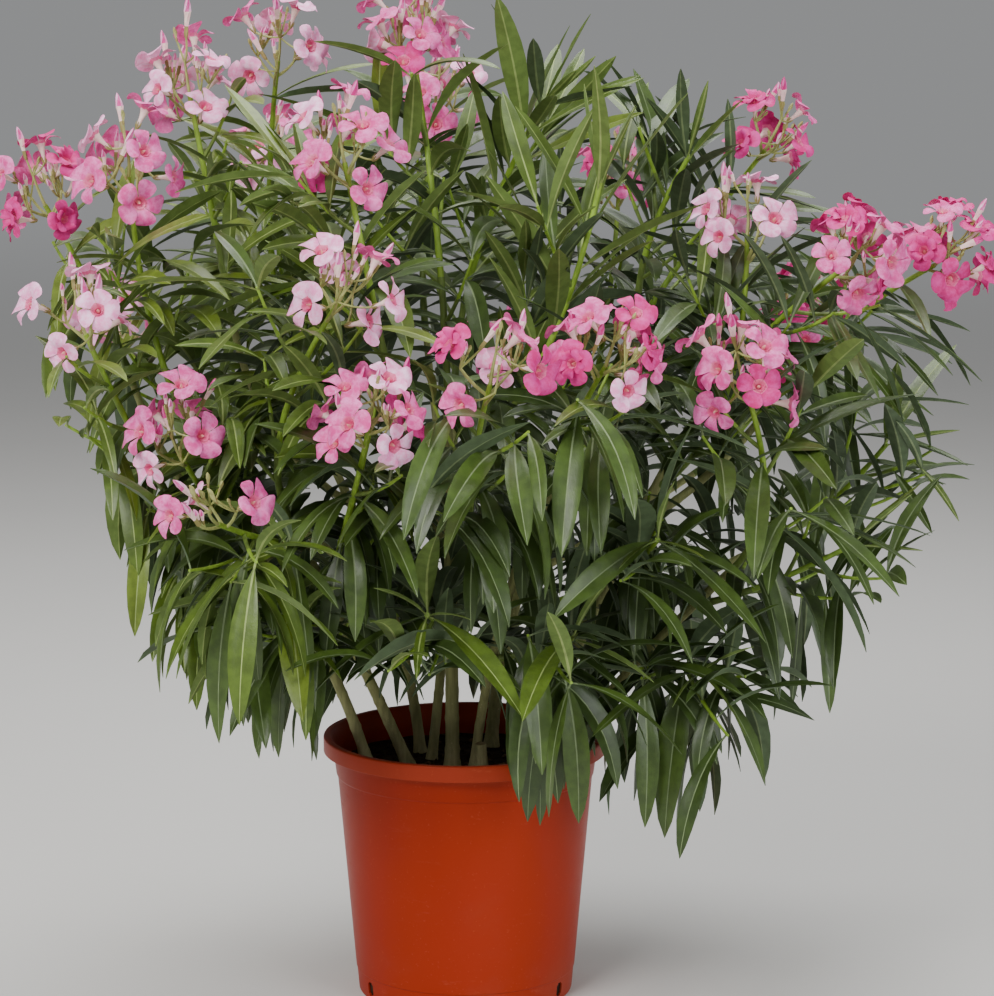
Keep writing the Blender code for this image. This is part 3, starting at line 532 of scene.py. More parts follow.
def bark_finish(name, green, tan, dry):
    """Smooth young bark: green above, tan and dry at the foot, with pale pores and fine lines."""
    made = Finish(name, specular_ior_level=0.3)
    aged = made.ramp(made.height() - 0.05 * made.grain(30.0, 2.0), dry, dry - 0.17)
    streaks = made.grain(26.0, 5.0, 0.62, made.stretched((9.0, 9.0, 1.0)))
    wood = made.tones(made.ramp(streaks, 0.36, 0.64), tan, 0.80, 1.14)
    skin = made.tones(made.ramp(streaks, 0.34, 0.66), green, 0.82, 1.14)
    base = made.colours(aged, skin, wood)
    pores = made.node("ShaderNodeTexVoronoi", vector=made.stretched((1.0, 1.0, 0.45)), scale=420.0)
    spots = made.ramp(pores, 0.16, 0.08) * made.ramp(made.grain(90.0, 2.0), 0.50, 0.62)
    return made.surface(
        made.colours(spots * 0.55, base, lighter(tan, 1.75)),
        0.62 + 0.2 * made.grain(200.0, 2.0),
        streaks * 0.5 + spots + 0.4 * made.grain(1100.0, 2.0),
        0.0004,
        0.7,
    )


def shoot_finish(name, colour):
    """The smooth green skin of a shoot, a twig or a stalk."""
    made = Finish(name, specular_ior_level=0.4, coat_weight=0.12, coat_roughness=0.4)
    tone = made.ramp(made.grain(60.0, 4.0, 0.6, made.stretched((3.0, 3.0, 1.0))), 0.32, 0.68)
    return made.surface(
        made.tones(tone, colour, 0.76, 1.2),
        0.46 + 0.14 * made.grain(300.0, 2.0),
        made.grain(900.0, 2.0),
        0.00025,
        0.5,
    )


def pot_finish(name, red, speck_and_rim_highlight, scuffed, dust):
    """Moulded terracotta-coloured plastic: satin, with faint flow tones, scuffs, dust and a painted
    rim highlight.
    """
    made = Finish(name, specular_ior_level=0.10)
    flow = made.ramp(made.grain(7.0, 3.0, 0.5, made.stretched((1.0, 1.0, 0.4))), 0.3, 0.7)
    base = made.colours(flow, *red)
    specks = made.ramp(made.grain(420.0, 2.0, 0.5), 0.66, 0.74) * 0.22
    spotted = made.colours(specks, base, speck_and_rim_highlight[0])
    scuff = made.ramp(made.grain(24.0, 6.0, 0.75, made.stretched((1.0, 1.0, 5.0))), 0.60, 0.72)
    low = made.ramp(made.height(), 0.055, 0.0)
    worn = made.colours(scuff * (0.10 + 0.22 * low), spotted, scuffed)
    dusty = made.ramp(made.grain(15.0, 5.0, 0.6), 0.50, 0.80) * (0.05 + 0.20 * low)
    # A painted highlight along the top of the rim, broken up where it is scuffed.
    rim = made.ramp(made.height(), POT_HEIGHT - 0.022, POT_HEIGHT - 0.014)
    shell = made.colours(dusty, worn, dust)
    return made.surface(
        made.colours(rim * (0.20 + 0.5 * scuff), shell, speck_and_rim_highlight[1]),
        0.34 + 0.16 * scuff + 0.10 * made.grain(60.0, 3.0) + 0.08 * low,
        made.grain(1500.0, 2.0) * 0.5 + scuff * 0.3 + made.grain(90.0, 2.0) * 0.6,
        0.00016,
        0.6,
    )


def earth_finish(name, dark, light, scale):
    """Rough, crumbly matter: compost, chips of bark or weathered wood."""
    made = Finish(name, specular_ior_level=0.15)
    tone = made.ramp(made.grain(scale, 6.0, 0.7), 0.36, 0.66)
    return made.surface(
        made.colours(tone, dark, light),
        0.86 + 0.1 * made.grain(200.0, 2.0),
        made.grain(scale * 3.0, 5.0, 0.75),
        0.0016,
        0.9,
    )


# Each kind of finish, with the values of every material that is made by it.
FINISHES = (
    (
        blade_finish,
        {
            "leaf_dark": ((0.0340, 0.0620, 0.0105), 0.24),
            "leaf_mid": ((0.0520, 0.0920, 0.0135), 0.24),
            "leaf_light": ((0.0770, 0.1260, 0.0145), 0.13),
            "leaf_lime": ((0.1180, 0.1720, 0.0180), 0.13),
        },
    ),
    (
        matt_leaf_finish,
        {
            "rib_old": ((0.175, 0.230, 0.110), 0.45),
            "rib_young": ((0.270, 0.350, 0.110), 0.45),
            "under_old": ((0.076, 0.116, 0.054), 0.62),
            "under_young": ((0.126, 0.194, 0.044), 0.60),
            "calyx": ((0.300, 0.260, 0.090), 0.5),
            "bud_green": ((0.380, 0.390, 0.140), 0.5),
        },
    ),
    (
        petal_finish,
        {
            "petal_pale": ((0.860, 0.260, 0.540), (1.000, 0.640, 0.880)),
            "petal_pink": ((0.650, 0.058, 0.270), (0.860, 0.230, 0.550)),
            "petal_deep": ((0.560, 0.018, 0.175), (0.700, 0.066, 0.330)),
            "throat": ((0.700, 0.090, 0.260), (0.840, 0.280, 0.450)),
            "tube": ((0.800, 0.500, 0.520), (0.880, 0.720, 0.620)),
            "anther": ((0.760, 0.380, 0.330), (0.860, 0.560, 0.440)),
        },
    ),
    (
        shoot_finish,
        {
            "stalk_pale": ((0.360, 0.400, 0.130),),
            "shoot_lime": ((0.240, 0.390, 0.040),),
            "shoot_green": ((0.140, 0.210, 0.040),),
        },
    ),
    (bark_finish, {"cane_bark": ((0.310, 0.325, 0.125), (0.540, 0.480, 0.285), 0.300)}),
    (
        earth_finish,
        {
            "cut_wood": ((0.240, 0.180, 0.100), (0.400, 0.320, 0.200), 300.0),
            "compost_dark": ((0.014, 0.008, 0.005), (0.052, 0.031, 0.018), 110.0),
            "compost_crumb": ((0.022, 0.013, 0.008), (0.080, 0.048, 0.028), 240.0),
            "bark_chip": ((0.060, 0.034, 0.018), (0.170, 0.105, 0.060), 260.0),
        },
    ),
    (
        pot_finish,
        {
            "pot_shell_plastic": (
                ((0.300, 0.0225, 0.0078), (0.338, 0.0280, 0.0094)),
                # The colours of the specks and of the rim's painted highlight.
                ((0.52, 0.11, 0.045), (0.52, 0.10, 0.045)),
                (0.52, 0.15, 0.075),
                (0.30, 0.14, 0.085),
            )
        },
    ),
)


def all_finishes():
    """Every material, by its name. A finish word on a face is a material's name."""
    return {name: kind(name, *row) for kind, rows in FINISHES for name, row in rows.items()}


# ---------------------------------------------------------------- forms


class Bundle:
    """Many small forms gathered into one mesh, with a finish for each face."""

    def __init__(self):
        self.points = []
        self.faces = []
        self.words = []
        self.slots = []
        self.count = 0

    def slot(self, word):
        if word not in self.words:
            self.words.append(word)
        return self.words.index(word)

    def add(self, points, faces, words):
        """Points (n, 3), faces (m, 3) and a finish word for all faces, or one for each."""
        self.points.append(points)
        self.faces.append(faces + self.count)
        names, index = np.unique(np.broadcast_to(words, len(faces)), return_inverse=True)
        table = np.array([self.slot(str(word)) for word in names])
        self.slots.append(table[index.reshape(-1)])
        self.count += len(points)

    def piece(self, name, finishes, nodes, slot, sharp=math.radians(55)):
        """The gathered forms as one object that rides on the frame and stands for those nodes."""
        points = np.concatenate(self.points).astype(np.float32)
        faces = np.concatenate(self.faces).astype(np.int32)
        mesh = bpy.data.meshes.new(name)
        mesh.vertices.add(len(points))
        mesh.vertices.foreach_set("co", points.ravel())
        mesh.loops.add(faces.size)
        mesh.loops.foreach_set("vertex_index", faces.ravel())
        mesh.polygons.add(len(faces))
        mesh.polygons.foreach_set("loop_start", np.arange(0, faces.size, 3, dtype=np.int32))
        mesh.polygons.foreach_set("material_index", np.concatenate(self.slots).astype(np.int32))
        mesh.update(calc_edges=True)
        mesh.validate()
        for word in self.words:
            mesh.materials.append(finishes[word])
        place_piece(name, mesh, nodes, sharp)


def place_thing(name, data):
    """A new object, linked to the scene."""
    thing = bpy.data.objects.new(name, data)
    bpy.context.scene.collection.objects.link(thing)
    return thing


def place_piece(name, mesh, nodes, sharp):
    """A piece of the plant: it rides on the frame and stands for those nodes."""
    mesh.shade_smooth()
    mesh.set_sharp_from_angle(angle=sharp)
    thing = place_thing(name, mesh)
    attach(thing, "root")
    if nodes:
        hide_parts(*nodes)


def mesh_from(bm, name):
    mesh = bpy.data.meshes.new(name)
    bm.to_mesh(mesh)
    bm.free()
    return mesh


SKINS = {}


def skin_faces(rows, cols, start_cap=True, end_cap=True):
    """Triangles of a closed skin through rows of points, with the row and column of each."""
    key = (rows, cols, start_cap, end_cap)
    if key not in SKINS:
        faces = []
        places = []
        for row in range(rows - 1):
            for col in range(cols):
                here = row * cols + col
                near = row * cols + (col + 1) % cols
                faces += [(here, near, near + cols), (here, near + cols, here + cols)]
                places += [(row, col)] * 2
        last = (rows - 1) * cols
        for col in range(1, cols - 1):
            if start_cap:
                faces.append((0, col + 1, col))
                places.append((0, col))
            if end_cap:
                faces.append((last, last + col, last + col + 1))
                places.append((rows - 2, col))
        SKINS[key] = np.array(faces), np.array(places)
    return SKINS[key]


def unit(vectors):
    return vectors / np.maximum(np.linalg.norm(vectors, axis=-1, keepdims=True), 1e-9)


def tangents(points):
    return unit(np.gradient(points, axis=0))


def side_by_side(*columns):
    """Columns as one array. A column is an array of rows, or one number for every row."""
    return np.stack(np.broadcast_arrays(*columns), axis=1)


def circle(count):
    """The angles of points evenly round a circle."""
    return np.arange(count) * (2 * math.pi / count)


def flat_ring(count):
    """The points of a level circle of radius 1."""
    angle = circle(count)
    return side_by_side(np.cos(angle), np.sin(angle), 0)


def carried_frames(points):
    """Directions along and across a line of points, carried along it without twist."""
    along = tangents(points)
    first = Vector(along[0]).orthogonal().normalized()
    across = np.empty_like(along)
    side = np.array(first)
    for index, direction in enumerate(along):
        side = side - direction * side.dot(direction)
        side = side / np.linalg.norm(side)
        across[index] = side
    return along, across, np.cross(along, across)


def tube(points, radii, sides, relief=None):
    """Points and faces of a round limb. Relief multiplies the radius at each row and column."""
    points = np.asarray(points, float)
    _, across, over = carried_frames(points)
    angle = circle(sides)
    radius = np.asarray(radii, float)[:, None] * np.ones(sides)
    if relief is not None:
        radius = radius * relief
    ring = np.cos(angle)[None, :, None] * across[:, None, :]
    ring = ring + np.sin(angle)[None, :, None] * over[:, None, :]
    skin = points[:, None, :] + ring * radius[:, :, None]
    faces, places = skin_faces(len(points), sides)
    return skin.reshape(-1, 3), faces, places


def sheet(points, across, widths, columns, lifts, keel, rib=None):
    """A thin blade: a row of columns over each point of its rib, and a keel under it.

    Columns are shares of the half-width, and lifts are heights as shares of it. Where a rib
    is given, as a share of the half-width, it stands out under the blade too.
    """
    along = tangents(points)
    across = unit(across - along * (across * along).sum(axis=1, keepdims=True))
    over = np.cross(along, across)
    wide = widths[:, None] * columns
    high = widths[:, None] * lifts
    skin = points[:, None, :] + wide[:, :, None] * across[:, None, :]
    skin = skin + high[:, :, None] * over[:, None, :]
    below = [points - over * keel[:, None]]
    if rib is not None:
        beside = across * (widths * rib)[:, None]
        root = points - over * (RIB_ROOT * keel)[:, None]
        below = [root - beside, *below, root + beside]
    skin = np.concatenate([skin] + [line[:, None, :] for line in below], axis=1)
    faces, places = skin_faces(len(points), skin.shape[1])
    return skin.reshape(-1, 3), faces, places


def tube_solid(points, radii):
    """A four-sided tube for the tests: its points and its tree."""
    skin, faces, _ = tube(points, radii, 4)
    return skin, BVHTree.FromPolygons(skin.tolist(), faces.tolist())


def bezier(start, control, end, shares):
    share = np.asarray(shares)[:, None]
    near = start * (1 - share) + control * share
    far = control * (1 - share) + end * share
    return near * (1 - share) + far * share


# ---------------------------------------------------------------- growth


class Path:
    """A smooth limb or shoot, bent once: a start, a control point and an end."""

    def __init__(self, start, control, end):
        self.start = Vector(start)
        self.control = Vector(control)
        self.end = Vector(end)
        self.leafy = 0.0

    def at(self, share):
        near = self.start.lerp(self.control, share)
        return near.lerp(self.control.lerp(self.end, share), share)

    def direction(self, share):
        first = self.control - self.start
        second = self.end - self.control
        return first.lerp(second, share).normalized()

    def length(self):
        points = np.array([self.at(index / 12) for index in range(13)])
        return float(np.linalg.norm(np.diff(points, axis=0), axis=1).sum())

    def line(self, shares):
        return bezier(np.array(self.start), np.array(self.control), np.array(self.end), shares)


def side_path(carrier, share, tip, aims, bend):
    """A limb from a share of its carrier to a tip.

    It sets out part level, part along its carrier and part to its tip, or, without aims, onward.
    """
    start = carrier.at(share)
    tip = Vector(tip)
    aim = carrier.direction(share)
    if aims:
        outward = (tip - start).normalized()
        level = Vector((outward.x, outward.y, 0)).normalized()
        aim = (level * aims[0] + aim * aims[1] + outward * aims[2]).normalized()
    return Path(start, start + aim * (tip - start).length * bend, tip)


def grow_limbs():
    """The path and the radii of each cane and bough."""
    limbs = {}
    for name, (foot, lean, tip, radius, tip_radius) in STEMS.items():
        start = Vector((*foot, SOIL_TOP))
        slope = Vector((*lean, 1))
        path = Path(start, start + slope * ((tip[2] - SOIL_TOP) * STEM_BEND), tip)
        limbs[name] = (path, radius, tip_radius)
    for name, (stem, share, tip, radius, tip_radius) in BOUGHS.items():
        path = side_path(limbs[stem][0], share, tip, BOUGH_AIM, BOUGH_BEND)
        limbs[name] = (path, radius, tip_radius)
    return limbs


def grow_shoots(limbs):
    """The path of each mass's shoot, from the middle of the limb that carries it to its tip."""
    shoots = {}
    for name, (limb, share, tip, *_) in MASSES.items():
        aims = None if share == 1 else SHOOT_AIM
        shoots[name] = side_path(limbs[limb][0], share, tip, aims, SHOOT_BEND)
    return shoots


def spread(axis, angle, azimuth):
    """A direction at an angle from an axis, at an azimuth round it."""
    across = Quaternion(axis, azimuth) @ axis.orthogonal().normalized()
    return (axis * math.cos(angle) + across * math.sin(angle)).normalized()


def lowered(direction, angle):
    """A direction turned down by an angle, at most to straight down."""
    axis = direction.cross(DOWN)
    if axis.length < 0.001:
        return direction
    return Quaternion(axis.normalized(), min(angle, direction.angle(DOWN))) @ direction


class Room:
    """What is already standing, and the space that each mass keeps to."""

    def __init__(self, shoots):
        sites = []
        owners = []
        for index, path in enumerate(shoots.values()):
            for step in range(SITE_STEPS):
                sites.append(path.at(step / (SITE_STEPS - 1)))
                owners.append(index)
            sites.append(path.end + path.direction(1) * CYME_LENGTH)
            owners.append(index)
        self.sites = np.array(sites)
        self.owners = np.array(owners)
        self.order = {name: index for index, name in enumerate(shoots)}
        self.cymes = np.array(
            [
                path.end + path.direction(1) * CYME_LENGTH + Vector((0, -front, 0))
                for name, path in shoots.items()
                for front in (0, CYME_FRONT)
                if MASSES[name][4]
            ]
        )
        self.trees = []
        self.lows = np.zeros((MOST_SOLIDS, 3))
        self.highs = np.zeros((MOST_SOLIDS, 3))

    def hangs_well(self, points):
        """Whether a leaf keeps between skirt and dome, out of the opening and off the flowers."""
        x, y, z = points.T
        away = np.hypot(x, SKIRT_DEPTH * y)
        leftward = np.clip(0.5 - SKIRT_TURN * x / (away + 0.001), 0, 1)
        left = np.interp(away, SKIRT_RADII, SKIRT_LEFT)
        right = np.interp(away, SKIRT_RADII, SKIRT_RIGHT)
        outside = (z < blend(right, left, leftward)) | (z > np.interp(away, DOME_RADII, DOME_HIGHS))
        low = np.interp(-y, [-place for place in OPENING_DEEP], OPENING_LOW)
        opening = (x > OPENING_SIDES[0]) & (x < OPENING_SIDES[1]) & (y < OPENING_BACK) & (z < low)
        if (outside | opening | (x < LEAF_REACH_LEFT)).any():
            return False
        off = np.linalg.norm(points[:, None, :] - self.cymes[None, :, :], axis=2)
        return bool((off > CYME_ROOM).all())

    def inside(self, name, points, lean):
        """Whether the points keep to the reach, to the mass's space and off the pot."""
        if (points < np.array(REACH_LOW)).any() or (points > np.array(REACH_HIGH)).any():
            return False
        low = points[:, 2] < POT_HEIGHT + CLEAR_ABOVE
        if (low & (np.hypot(points[:, 0], points[:, 1]) < LIP_RADIUS + CLEAR_BESIDE)).any():
            return False
        away = np.linalg.norm(points[:, None, :] - self.sites[None, :, :], axis=2)
        mine = self.owners == self.order[name]
        return bool((away[:, ~mine].min(axis=1) - away[:, mine].min(axis=1) > -lean).all())

    def free(self, points, tree):
        """Whether a solid, given as its points and its tree, touches nothing that stands."""
        count = len(self.trees)
        low = points.min(axis=0)
        high = points.max(axis=0)
        near = (self.lows[:count] < high).all(axis=1) & (self.highs[:count] > low).all(axis=1)
        return not any(tree.overlap(self.trees[index]) for index in np.flatnonzero(near))

    def stand(self, points, tree):
        """Adds a solid to those that stand."""
        count = len(self.trees)
        self.lows[count] = points.min(axis=0)
        self.highs[count] = points.max(axis=0)
        self.trees.append(tree)

    def claim(self, points, tree):
        """Stands a solid where it is free, and says whether it was."""
        free = self.free(points, tree)
        if free:
            self.stand(points, tree)
        return free


# A leaf's outline at each of its rows, as a share of its half-width.
BLADE_SHARE = np.clip((LEAF_ROWS - 0.05) / 0.95, 0, 1)
BLADE_WIDTH = BLADE_SHARE**0.86 * (1 - BLADE_SHARE) ** 0.74
BLADE_WIDTH = BLADE_WIDTH / BLADE_WIDTH.max()
STAND_IN_FACES = [
    (0, 2, 1), (0, 1, 3), (1, 2, 4), (1, 4, 3), (0, 3, 5), (0, 5, 2), (3, 4, 5), (5, 4, 2),
]


class Leaf:
    """One leaf: an arched rib from its root to its tip, and the way it faces."""

    def __init__(self, root, along, sag, length, roll, twist, width):
        self.root = np.array(root)
        bend = root + along * (length * BEND_SHARE)
        tip = bend + lowered(along, sag) * (length * (1 - BEND_SHARE))
        self.bend = np.array(bend)
        self.tip = np.array(tip)
        chord = (tip - root).normalized()
        side = UP.cross(chord)
        if side.length < 0.25:
            outward = Vector((root.x, root.y, 0.001)).normalized()
            side = UP.cross(outward)
        side = Quaternion(chord, roll) @ side.normalized()
        self.side = np.array(side)
        self.over = np.cross(np.array(chord), self.side)
        self.length = length
        self.twist = twist
        self.half_width = width * length / LEAF_LENGTH[1]

    def samples(self):
        rib = bezier(self.root, self.bend, self.tip, (0.25, 0.5, 0.75, 1.0))
        across = self.side * self.half_width
        return np.concatenate([rib, rib[:3] + across * 0.9, rib[:3] - across * 0.9])

    def stand_in(self):
        """A simple solid for the tests: near its root, a pair of edges half way, and its tip."""
        rib = bezier(self.root, self.bend, self.tip, (0.14, 0.5, 0.97))
        across = self.side * self.half_width * 0.85
        over = self.over * 0.0008
        points = np.array(
            [rib[0], rib[1] + over, rib[1] + across, rib[1] - across, rib[2], rib[1] - over]
        )
        return points, BVHTree.FromPolygons(points.tolist(), STAND_IN_FACES)

    def grow(self, bundle, rand, blade_word, rib_word, under_word):
        """The leaf's mesh: a stalk, and a blade that bows, twists, folds at its rib and waves."""
        rib = bezier(self.root, self.bend, self.tip, LEAF_ROWS)
        bow = np.sin(LEAF_ROWS * math.pi) * self.length * rand.uniform(-0.03, 0.03)
        rib = rib + self.side * bow[:, None]
        turn = self.twist * LEAF_ROWS
        across = self.side * np.cos(turn)[:, None] + self.over * np.sin(turn)[:, None]
        width = np.maximum(self.half_width * BLADE_WIDTH, STALK_HALF_WIDTH)
        width[-1] = TIP_HALF_WIDTH
        narrow = np.clip(RIB_HALF_WIDTH * (1.5 - LEAF_ROWS) / width, 0.02, 0.5)
        columns = side_by_side(1, MID_BLADE, narrow, -narrow, -MID_BLADE, -1)
        vee = rand.uniform(0.10, 0.42)
        crown = rand.uniform(0.05, 0.13)
        wave = 0.10 * np.sin(LEAF_ROWS * rand.uniform(6, 11) + rand.uniform(0, 6))
        left = vee + wave
        right = vee - wave
        mid_lifts = [MID_BLADE * edge + crown for edge in (left, right)]
        lifts = side_by_side(left, mid_lifts[0], RIB_LIFT, RIB_LIFT, mid_lifts[1], right)
        keel = BLADE_KEEL * (1.3 - 0.9 * LEAF_ROWS)
        skin, faces, places = sheet(rib, across, width, columns, lifts, keel, RIB_UNDER * narrow)
        # Columns 0 to 4 of the skin are the upper face, with its rib in column 2, and columns
        # 5 to 8 are the underside, with its rib in columns 6 and 7.
        row, col = places.T
        words = np.where(col >= 5, under_word, blade_word)
        words = np.where((col == 2) | (col == 6) | (col == 7), rib_word, words)
        words = np.where(row < PETIOLE_ROWS, rib_word, words)
        bundle.add(skin, faces, words)


def tone_at(tones, value):
    """The first tone whose limit lies above the value."""
    return next(tone for tone, limit in tones.items() if value < limit)


class Mass:
    """One mass of foliage: its shoot, side twigs, whorls of leaves and cyme."""

    def __init__(self, name, row, path, seed, room, bundles):
        _, _, _, self.age, self.flowers, self.depth = row
        self.name = name
        self.path = path
        self.random = random.Random(seed)
        self.room = room
        self.leaves, self.twigs, self.blossom = bundles
        self.whorls = []
        self.shoots = []

    def tone(self, age, place):
        """Young leaves are lighter; painted sunlight lightens those on the left, and painted shade
        darkens those high on the right.
        """
        rand = self.random
        value = age + rand.gauss(0, LEAF_TONE_SPREAD)
        # Painted shade darkens the leaves high on the right, and painted sunlight lightens those on
        # the left.
        value += PAINTED_SHADE_TOP * max(0, place.z - PAINTED_SHADE_FROM) * min(1, max(0, place.x) / PAINTED_SHADE_OVER)
        value -= PAINTED_SUN_SIDE * min(1, max(0, PAINTED_SUN_FROM - place.x) / PAINTED_SUN_OVER)
        return tone_at(LEAF_TONES, value)

    def plan_shoot(self, path, radii, sides, swell_at):
        """Keeps the space of a green shoot or twig, which is drawn once its leaves are known."""
        shares = np.linspace(0, 1, max(6, int(path.length() / SHOOT_ROW)))
        radius = blend(*radii, shares)
        self.room.stand(*tube_solid(path.line(shares)[2::3], radius[2::3] * 0.9))
        self.shoots.append((path, radii, sides, swell_at))

    def add_shoots(self):
        """Each green shoot or twig, as far as its last leaves, a little swollen where they join."""
        for path, radii, sides, swell_at in self.shoots:
            if path.leafy == 0:
                continue
            length = path.length()
            rows = max(6, int(length / SHOOT_ROW))
            shares = np.linspace(0, min(1, path.leafy + 0.02), rows)
            radius = blend(*radii, shares)
            for place in swell_at:
                radius = radius * (1 + 0.20 * np.exp(-(((shares - place) * length / 0.0035) ** 2)))
            skin, faces, places = tube(path.line(shares), radius, sides)
            words = np.where(places[:, 0] < rows * 0.35, "shoot_green", "shoot_lime")
            self.twigs.add(skin, faces, words)

    def start(self):
        """Sets out the whorls of the shoot and its twigs, and the cyme or the tuft at the tip."""
        rand = self.random
        length = self.path.length()
        top = 1 - PEDUNCLE / length if self.flowers else HIGHEST_WHORL
        count = max(LEAST_WHORLS, int(length * (top - LOWEST_WHORL) / WHORL_STEP))
        shares = [blend(LOWEST_WHORL, top, index / (count - 1)) for index in range(count)]
        self.plan_shoot(self.path, SHOOT_RADII, SHOOT_SIDES, shares)
        turn = rand.uniform(0, 2 * math.pi)
        for index, share in enumerate(shares):
            age = self.age + AGE_ALONG_SHOOT * (1 - share) + (OPENED if self.flowers else 0)
            azimuth = turn + index * WHORL_TURN
            self.whorls.append((self.path, share, azimuth, age, SHOOT_RADII, 1.0))
        for index in range(TWIGS):
            self.add_twig(blend(*TWIG_SPAN, index / (TWIGS - 1)))
        if self.flowers:
            self.path.leafy = 1.0
            self.add_cyme()
        else:
            age = self.age - TUFT_YOUNGER
            self.whorls.append((self.path, 1.0, turn, age, SHOOT_RADII, TUFT_SIZE))
        self.whorls.sort(key=lambda whorl: whorl[3])

    def add_twig(self, share):
        """A side twig with its whorls, where a try finds a free place for it."""
        rand = self.random
        start = self.path.at(share)
        axis = self.path.direction(share)
        for attempt in range(LEAF_TRIES):
            angle = TWIG_ANGLE * rand.uniform(0.8, 1.15)
            aim = spread(axis, angle, rand.uniform(0, 2 * math.pi))
            reach = rand.uniform(*TWIG_LENGTH) * (1 - TWIG_EASE * attempt / LEAF_TRIES)
            end = start + (aim + UP * TWIG_RISE).normalized() * reach
            path = Path(start, start + aim * reach * 0.5, end)
            points = path.line(TWIG_TESTS)
            if not self.room.inside(self.name, points, 0.0):
                continue
            if self.room.free(*tube_solid(points, [TWIG_SLACK] * len(points))):
                self.plan_shoot(path, TWIG_RADII, TWIG_SIDES, TWIG_SWELLS)
                age = self.age + TWIG_AGE * AGE_ALONG_SHOOT * (1 - share)
                turn = rand.uniform(0, 2)
                for index, place in enumerate(TWIG_WHORLS):
                    older = age + 0.10 * (2 - index)
                    azimuth = turn + index * TWIG_TURN
                    self.whorls.append((path, place, azimuth, older, TWIG_RADII, TWIG_LEAF_SIZE))
                return

    def add_whorl(self, whorl):
        """Three leaves round the shoot, or fewer in the airy upper and outer crown."""
        path, share, azimuth, age, radii, size = whorl
        middle = path.at(share)
        airy = math.hypot(middle.x, middle.y) > AIRY_RADIUS or middle.z > AIRY_HEIGHT
        radius = blend(*radii, share)
        for index in range(LEAVES_IN_WHORL):
            if airy and self.random.random() < AIRY_SHARE:
                continue
            self.add_leaf(path, share, azimuth + index * LEAF_TURN, age, radius, size)

    def add_leaf(self, path, share, azimuth, age, radius, size):
        """A leaf of the whorl, where a try finds a free place for it."""
        rand = self.random
        middle = path.at(share)
        axis = path.direction(share)
        stiff = min(1, max(0, middle.x - STIFF_SIDE) / STIFF_OVER)
        for attempt in range(LEAF_TRIES):
            ease = attempt / LEAF_TRIES
            old = min(1.15, max(-0.1, age + rand.uniform(-0.12, 0.12)))
            angle = blend(YOUNG_ANGLE, OLD_ANGLE, old) * rand.uniform(1 - 0.45 * ease, 1)
            sag = blend(YOUNG_SAG, OLD_SAG, old) * rand.uniform(0.8, 1.25) * (1 - STIFF_SAG * stiff)
            length = rand.uniform(*LEAF_LENGTH) * size * (1 - 0.30 * ease)
            along = spread(axis, angle, azimuth + rand.uniform(-0.25, 0.25) * (1 + 5 * ease))
            outward = (along - axis * along.dot(axis)).normalized()
            root = middle + outward * (radius * 0.7)
            roll = rand.uniform(-0.55, 0.55)
            width = LEAF_HALF_WIDTH * rand.uniform(0.86, 1.10) * blend(*LEAF_BROADENS, old)
            width *= (length / LEAF_LENGTH[1]) ** LEAF_SLIMS * (1 - STIFF_SLIMS * stiff)
            leaf = Leaf(root, along, sag, length, roll, rand.uniform(-0.5, 0.5), width)
            samples = leaf.samples()
            if not self.room.hangs_well(samples):
                continue
            if not self.room.inside(self.name, samples, LEAF_LEAN):
                continue
            if not self.room.claim(*leaf.stand_in()):
                continue
            tone = self.tone(old, root)
            kind = "young" if tone in YOUNG_TONES else "old"
            leaf.grow(self.leaves, rand, tone, "rib_" + kind, "under_" + kind)
            path.leafy = max(path.leafy, share)
            return

    def petal_tone(self):
        return tone_at(PETAL_TONES, self.depth + self.random.gauss(0, PETAL_TONE_SPREAD))

    def add_stalk(self, start, end, radii, bow=0.12, sides=5):
        """A thin stalk that sets out low and bows up to its end."""
        aside = Vector((self.random.uniform(-0.1, 0.1), 0, 0))
        control = start.lerp(end, 0.5) + (UP * -bow + aside) * (end - start).length
        shares = np.linspace(0, 1, 6)
        points = Path(start, control, end).line(shares)
        skin, faces, _ = tube(points, blend(*radii, shares), sides)
        self.twigs.add(skin, faces, "stalk_pale")

    def add_cyme(self):
        """Branches from the shoot's tip, each with its open flowers, and buds among them."""
        rand = self.random
        tip = self.path.end
        onward = self.path.direction(1)
        axis = (onward + UP * 0.4).normalized()
        total = int(round(self.flowers * FLOWER_SHARE))
        branches = []
        around = 4 if total > 7 else 3
        for index in range(around + 1):
            central = index == around
            tilt = 0.0 if central else rand.uniform(*BRANCH_TILT)
            aim = spread(axis, tilt, index * 2 * math.pi / around + rand.uniform(-0.3, 0.3))
            root = tip - onward * (0.0 if central else rand.uniform(*BRANCH_DROP))
            end = root + aim * rand.uniform(*BRANCH_LENGTH)
            self.add_stalk(root, end, BRANCH_RADII, bow=0.08, sides=6)
            branches.append(end)
        for index in range(total):
            share = (index + 0.4) / total
            angle = CYME_ANGLE * math.sqrt(share)
            for attempt in range(FLOWER_TRIES):
                azimuth = index * GOLDEN_ANGLE + rand.uniform(-0.3, 0.3) + attempt * 0.6
                reach = blend(*FLOWER_REACH, share) * rand.uniform(0.85, 1.12)
                aim = spread(axis, angle * rand.uniform(0.85, 1.1), azimuth)
                face = tip - onward * (CYME_DEPTH * share * rand.random()) + aim * reach
                if self.add_flower(face, aim, branches):
                    break
        for _ in range(2 + total // 6):
            self.add_tall_bud(branches, axis)
        for _ in range(total + 8):
            branch = rand.choice(branches)
            aim = spread(axis, rand.uniform(0.0, 0.8), rand.uniform(0, 2 * math.pi))
            self.add_bud(branch, aim, rand.uniform(*SMALL_BUD))

